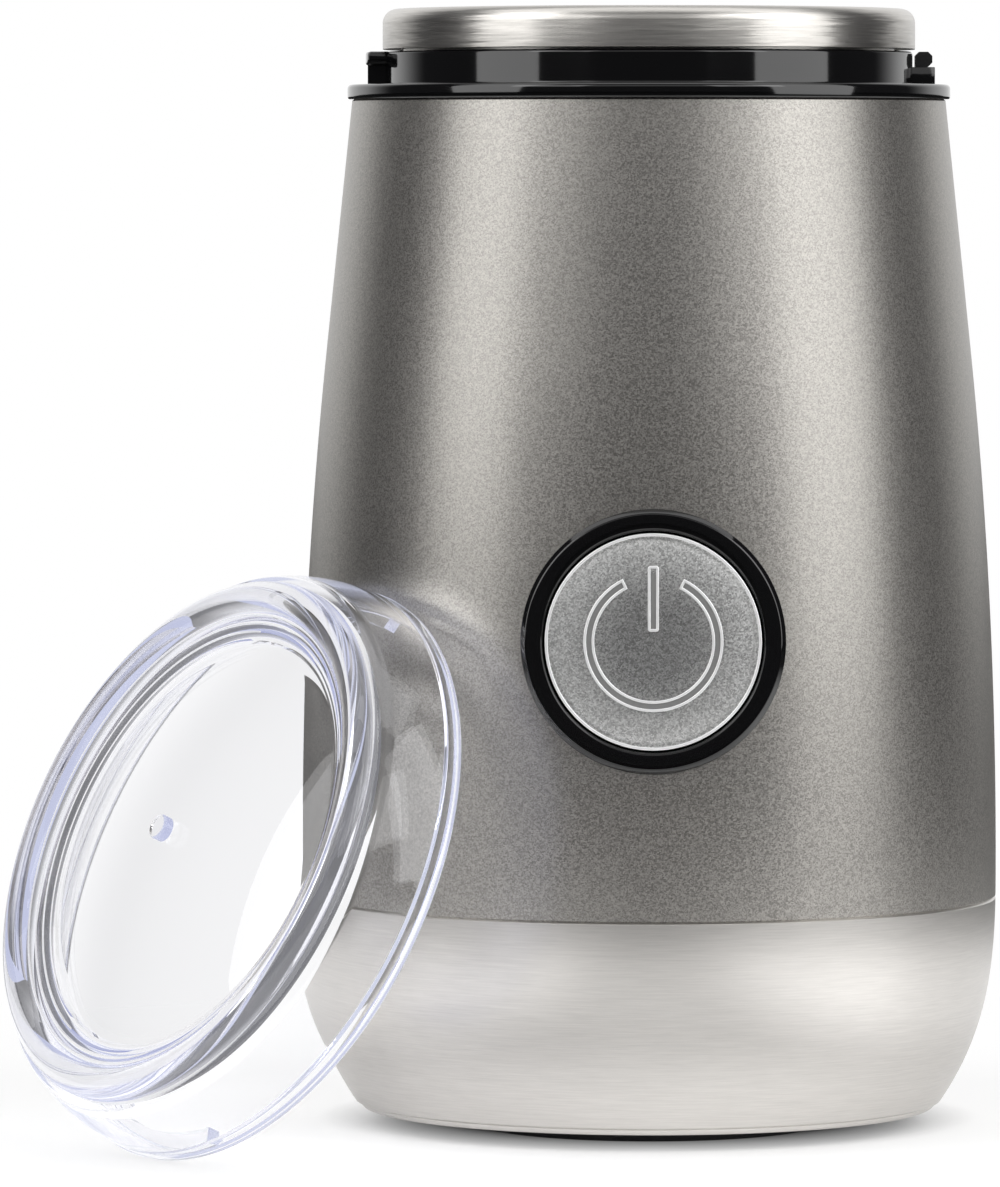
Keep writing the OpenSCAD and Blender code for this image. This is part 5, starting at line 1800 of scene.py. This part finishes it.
@dataclass(frozen=True)
class PaperFloor:
    """White paper floor.

    The camera sees it as pure white, but for the object's shadow near the foot, which is partly real and
    partly painted shade: the glow that whitens the paper is held back close to the foot. Mirrored in the
    object it shows a painted glow that stands for lit paper, most beside the foot. From below it is open.

    Attributes:
        radius_mm: radius of the sheet.
        fibre_mm: width of the paper's fibre pattern, which is drawn coarse so that it shows.
        tints: sRGB hex of the darkest and the lightest fibre.
        painted_dusk: sRGB hex of the painted shade that the paper darkens to far out, where only the object
            sees it.
        centre: middle of the object's shadow, real and painted, and of the painted glows.
        shadow_share: how strong that shadow is.
        shadow_glow: light that is added to the shadowed paper, held back near the foot to paint shade there.
        near: distances between which that light and the painted mirrored glow set in; closer in, the paper
            gets a painted contact shadow.
        far: distances between which the shadow fades to white.
        painted_dusk_fade: distances between which the paper darkens to that painted shade, and its painted
            glow fades.
        foot: painted mirrored glow close to the foot, by distance.
        sides: painted mirrored glow beside the object, by distance along X.
        apron: painted mirrored glow further out, by distance.
        front: share of the painted mirrored glow that stays, by distance along Y.
    """

    radius_mm: float = 6000.0
    fibre_mm: float = 3.0
    tints: tuple[str, str] = ("f2f2f2", "f6f6f6")
    painted_dusk: str = "4c4c4c"
    centre: tuple[float, float, float] = (0.0, 0.010, 0.0)
    shadow_share: float = 0.56
    shadow_glow: float = 1.35
    near: Fade = Fade(0.030, 0.048)
    far: Fade = Fade(0.10, 0.20)
    painted_dusk_fade: Fade = Fade(0.36, 0.19)
    foot: Fade = Fade(0.080, 0.055, top=0.45)
    sides: Fade = Fade(0.03, 0.09, top=0.72)
    apron: Fade = Fade(0.09, 0.17, top=0.08)
    front: Fade = Fade(-0.010, -0.050, bottom=0.5)

    def build(self) -> None:
        """Lay the sheet of paper."""
        mesh = bmesh.new()
        bmesh.ops.create_circle(mesh, cap_ends=True, segments=96, radius=self.radius_mm)
        floor = make_piece("floor", mesh)
        floor.data.materials.append(self.material())

    def levels(self, tree: bpy.types.NodeTree, place: bpy.types.NodeSocket) -> Levels:
        """Work out the level of each fade at a place on the floor.

        Args:
            tree: the material's node tree.
            place: the place.

        Returns:
            The levels, by the fades' names.
        """
        kind = "ShaderNodeVectorMath"
        shifted = add_node(tree, kind, {0: place, 1: self.centre}, operation="SUBTRACT").outputs[0]
        away = add_node(tree, kind, {0: shifted}, operation="LENGTH").outputs["Value"]
        split = add_node(tree, "ShaderNodeSeparateXYZ", {0: place})
        beside = add_node(tree, "ShaderNodeMath", {0: split.outputs["X"]}, operation="ABSOLUTE").outputs[0]
        followed = {
            "near": (self.near, away),
            "far": (self.far, away),
            "painted_dusk_fade": (self.painted_dusk_fade, away),
            "foot": (self.foot, away),
            "sides": (self.sides, beside),
            "apron": (self.apron, away),
            "front": (self.front, split.outputs["Y"]),
        }
        return {
            name: add_node(tree, "ShaderNodeMapRange", fade.along(value)).outputs["Result"]
            for name, (fade, value) in followed.items()
        }

    @staticmethod
    def painted_mirror_glow(tree: bpy.types.NodeTree, levels: Levels) -> bpy.types.NodeSocket:
        """Work out how strongly the floor shows a painted glow where the object mirrors it.

        Args:
            tree: the material's node tree.
            levels: the levels of the fades.

        Returns:
            The strength.
        """
        light = levels["foot"]
        for name, operation in (
            ("sides", "MAXIMUM"),
            ("apron", "MAXIMUM"),
            ("painted_dusk_fade", "MULTIPLY"),
            ("near", "MULTIPLY"),
            ("front", "MULTIPLY"),
        ):
            pair = {0: light, 1: levels[name]}
            light = add_node(tree, "ShaderNodeMath", pair, operation=operation).outputs[0]
        return light

    def material(self) -> bpy.types.Material:
        """Make the paper's material: what the camera, a mirror, any other ray and a view from below see.

        Returns:
            The material.
        """
        material = bpy.data.materials.new("paper_backdrop")
        material.use_nodes = True
        tree = material.node_tree
        tree.nodes.remove(tree.nodes["Principled BSDF"])
        place = add_node(tree, "ShaderNodeTexCoord").outputs["Object"]
        levels = self.levels(tree, place)
        cells = {"Vector": place, "Scale": per_metre(self.fibre_mm)}
        fibre = add_node(tree, "ShaderNodeTexNoise", cells).outputs["Fac"]
        tints = {0: fibre, 6: linear(self.tints[0]), 7: linear(self.tints[1])}
        bright = add_node(tree, "ShaderNodeMix", tints, data_type="RGBA").outputs[2]
        # Painted shade: far out the paper's colour darkens, which only the object's reflections and bounced
        # light see.
        sheet = {0: levels["painted_dusk_fade"], 6: linear(self.painted_dusk), 7: bright}
        colour = add_node(tree, "ShaderNodeMix", sheet, data_type="RGBA").outputs[2]
        paper = add_node(tree, "ShaderNodeBsdfDiffuse", {"Color": colour}).outputs[0]

        # Painted shade: the glow that whitens the paper is held back close to the foot, so the paper there is
        # darker than its real shadow makes it.
        scaled = {0: levels["near"], 1: self.shadow_glow}
        strength = add_node(tree, "ShaderNodeMath", scaled, operation="MULTIPLY").outputs[0]
        glow = add_node(tree, "ShaderNodeEmission", {"Strength": strength}).outputs[0]
        white = add_node(tree, "ShaderNodeEmission", {"Strength": 1.0}).outputs[0]
        # Painted reflection: glossy rays see the paper with a glow added, brightest beside the foot and
        # weaker behind it.
        strength = self.painted_mirror_glow(tree, levels)
        painted_sheen = add_node(tree, "ShaderNodeEmission", {"Strength": strength}).outputs[0]
        mirrored = add_node(tree, "ShaderNodeAddShader", {0: paper, 1: painted_sheen}).outputs[0]
        nothing = add_node(tree, "ShaderNodeBsdfTransparent").outputs[0]
        glossy = add_node(tree, "ShaderNodeLightPath").outputs["Is Glossy Ray"]
        below = add_node(tree, "ShaderNodeNewGeometry").outputs["Backfacing"]

        kind = "ShaderNodeMixShader"
        shadowed = add_node(tree, kind, {0: self.shadow_share, 1: glow, 2: paper}).outputs[0]
        seen = add_node(tree, kind, {0: levels["far"], 1: shadowed, 2: white}).outputs[0]
        other = add_node(tree, kind, {0: glossy, 1: paper, 2: mirrored}).outputs[0]
        upper = add_node(tree, kind, {0: direct_sight(tree), 1: other, 2: seen}).outputs[0]
        surface = add_node(tree, kind, {0: below, 1: upper, 2: nothing}).outputs[0]
        tree.links.new(surface, tree.nodes["Material Output"].inputs["Surface"])
        return material


def dress_carried_over(nodes: dict[str, bpy.types.Object]) -> None:
    """Give every CAD node that stays its finish.

    Args:
        nodes: the frame's nodes by name.
    """
    for finish, names in CARRIED_OVER.items():
        for name in names:
            node = nodes[name]
            node.data.materials.clear()
            node.data.materials.append(finish.material())
            LOG.info("%s: carried over in %s", name, finish.name)


def main() -> None:
    """Build the camera, the grinder's pieces in order, and the studio round them."""
    logging.basicConfig(level=logging.INFO, format="%(name)s: %(message)s")
    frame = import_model()
    bpy.context.scene.view_settings.view_transform = "Standard"
    Viewpoint().build()

    shell_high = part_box("body_shell")[1]
    band_low, band_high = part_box("base_band")
    cup_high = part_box("grinding_cup")[1]
    grommet_low, grommet_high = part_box("cord_grommet")
    radii = Radii(rim=cup_high.x / MM)
    curve = HousingCurve(
        band_z=band_low.z / MM, seam_z=band_high.z / MM, top_z=shell_high.z / MM, top_r=radii.shell_top
    )
    button_axis = Button.axis_on(curve)

    dress_carried_over(frame["nodes"])
    Housing(radii, curve).build(button_axis, inlet_z=(grommet_low.z + grommet_high.z) / 2 / MM)
    Collar(radii, curve).build()
    Cup(radii, curve, top_z=cup_high.z / MM).build()
    Button(radii, curve, axis=button_axis).build()
    Lid(radii, curve).build()

    Room().build()
    PaperFloor().build()
    for softbox in SOFTBOXES:
        softbox.build()


if __name__ == "__main__":
    main()
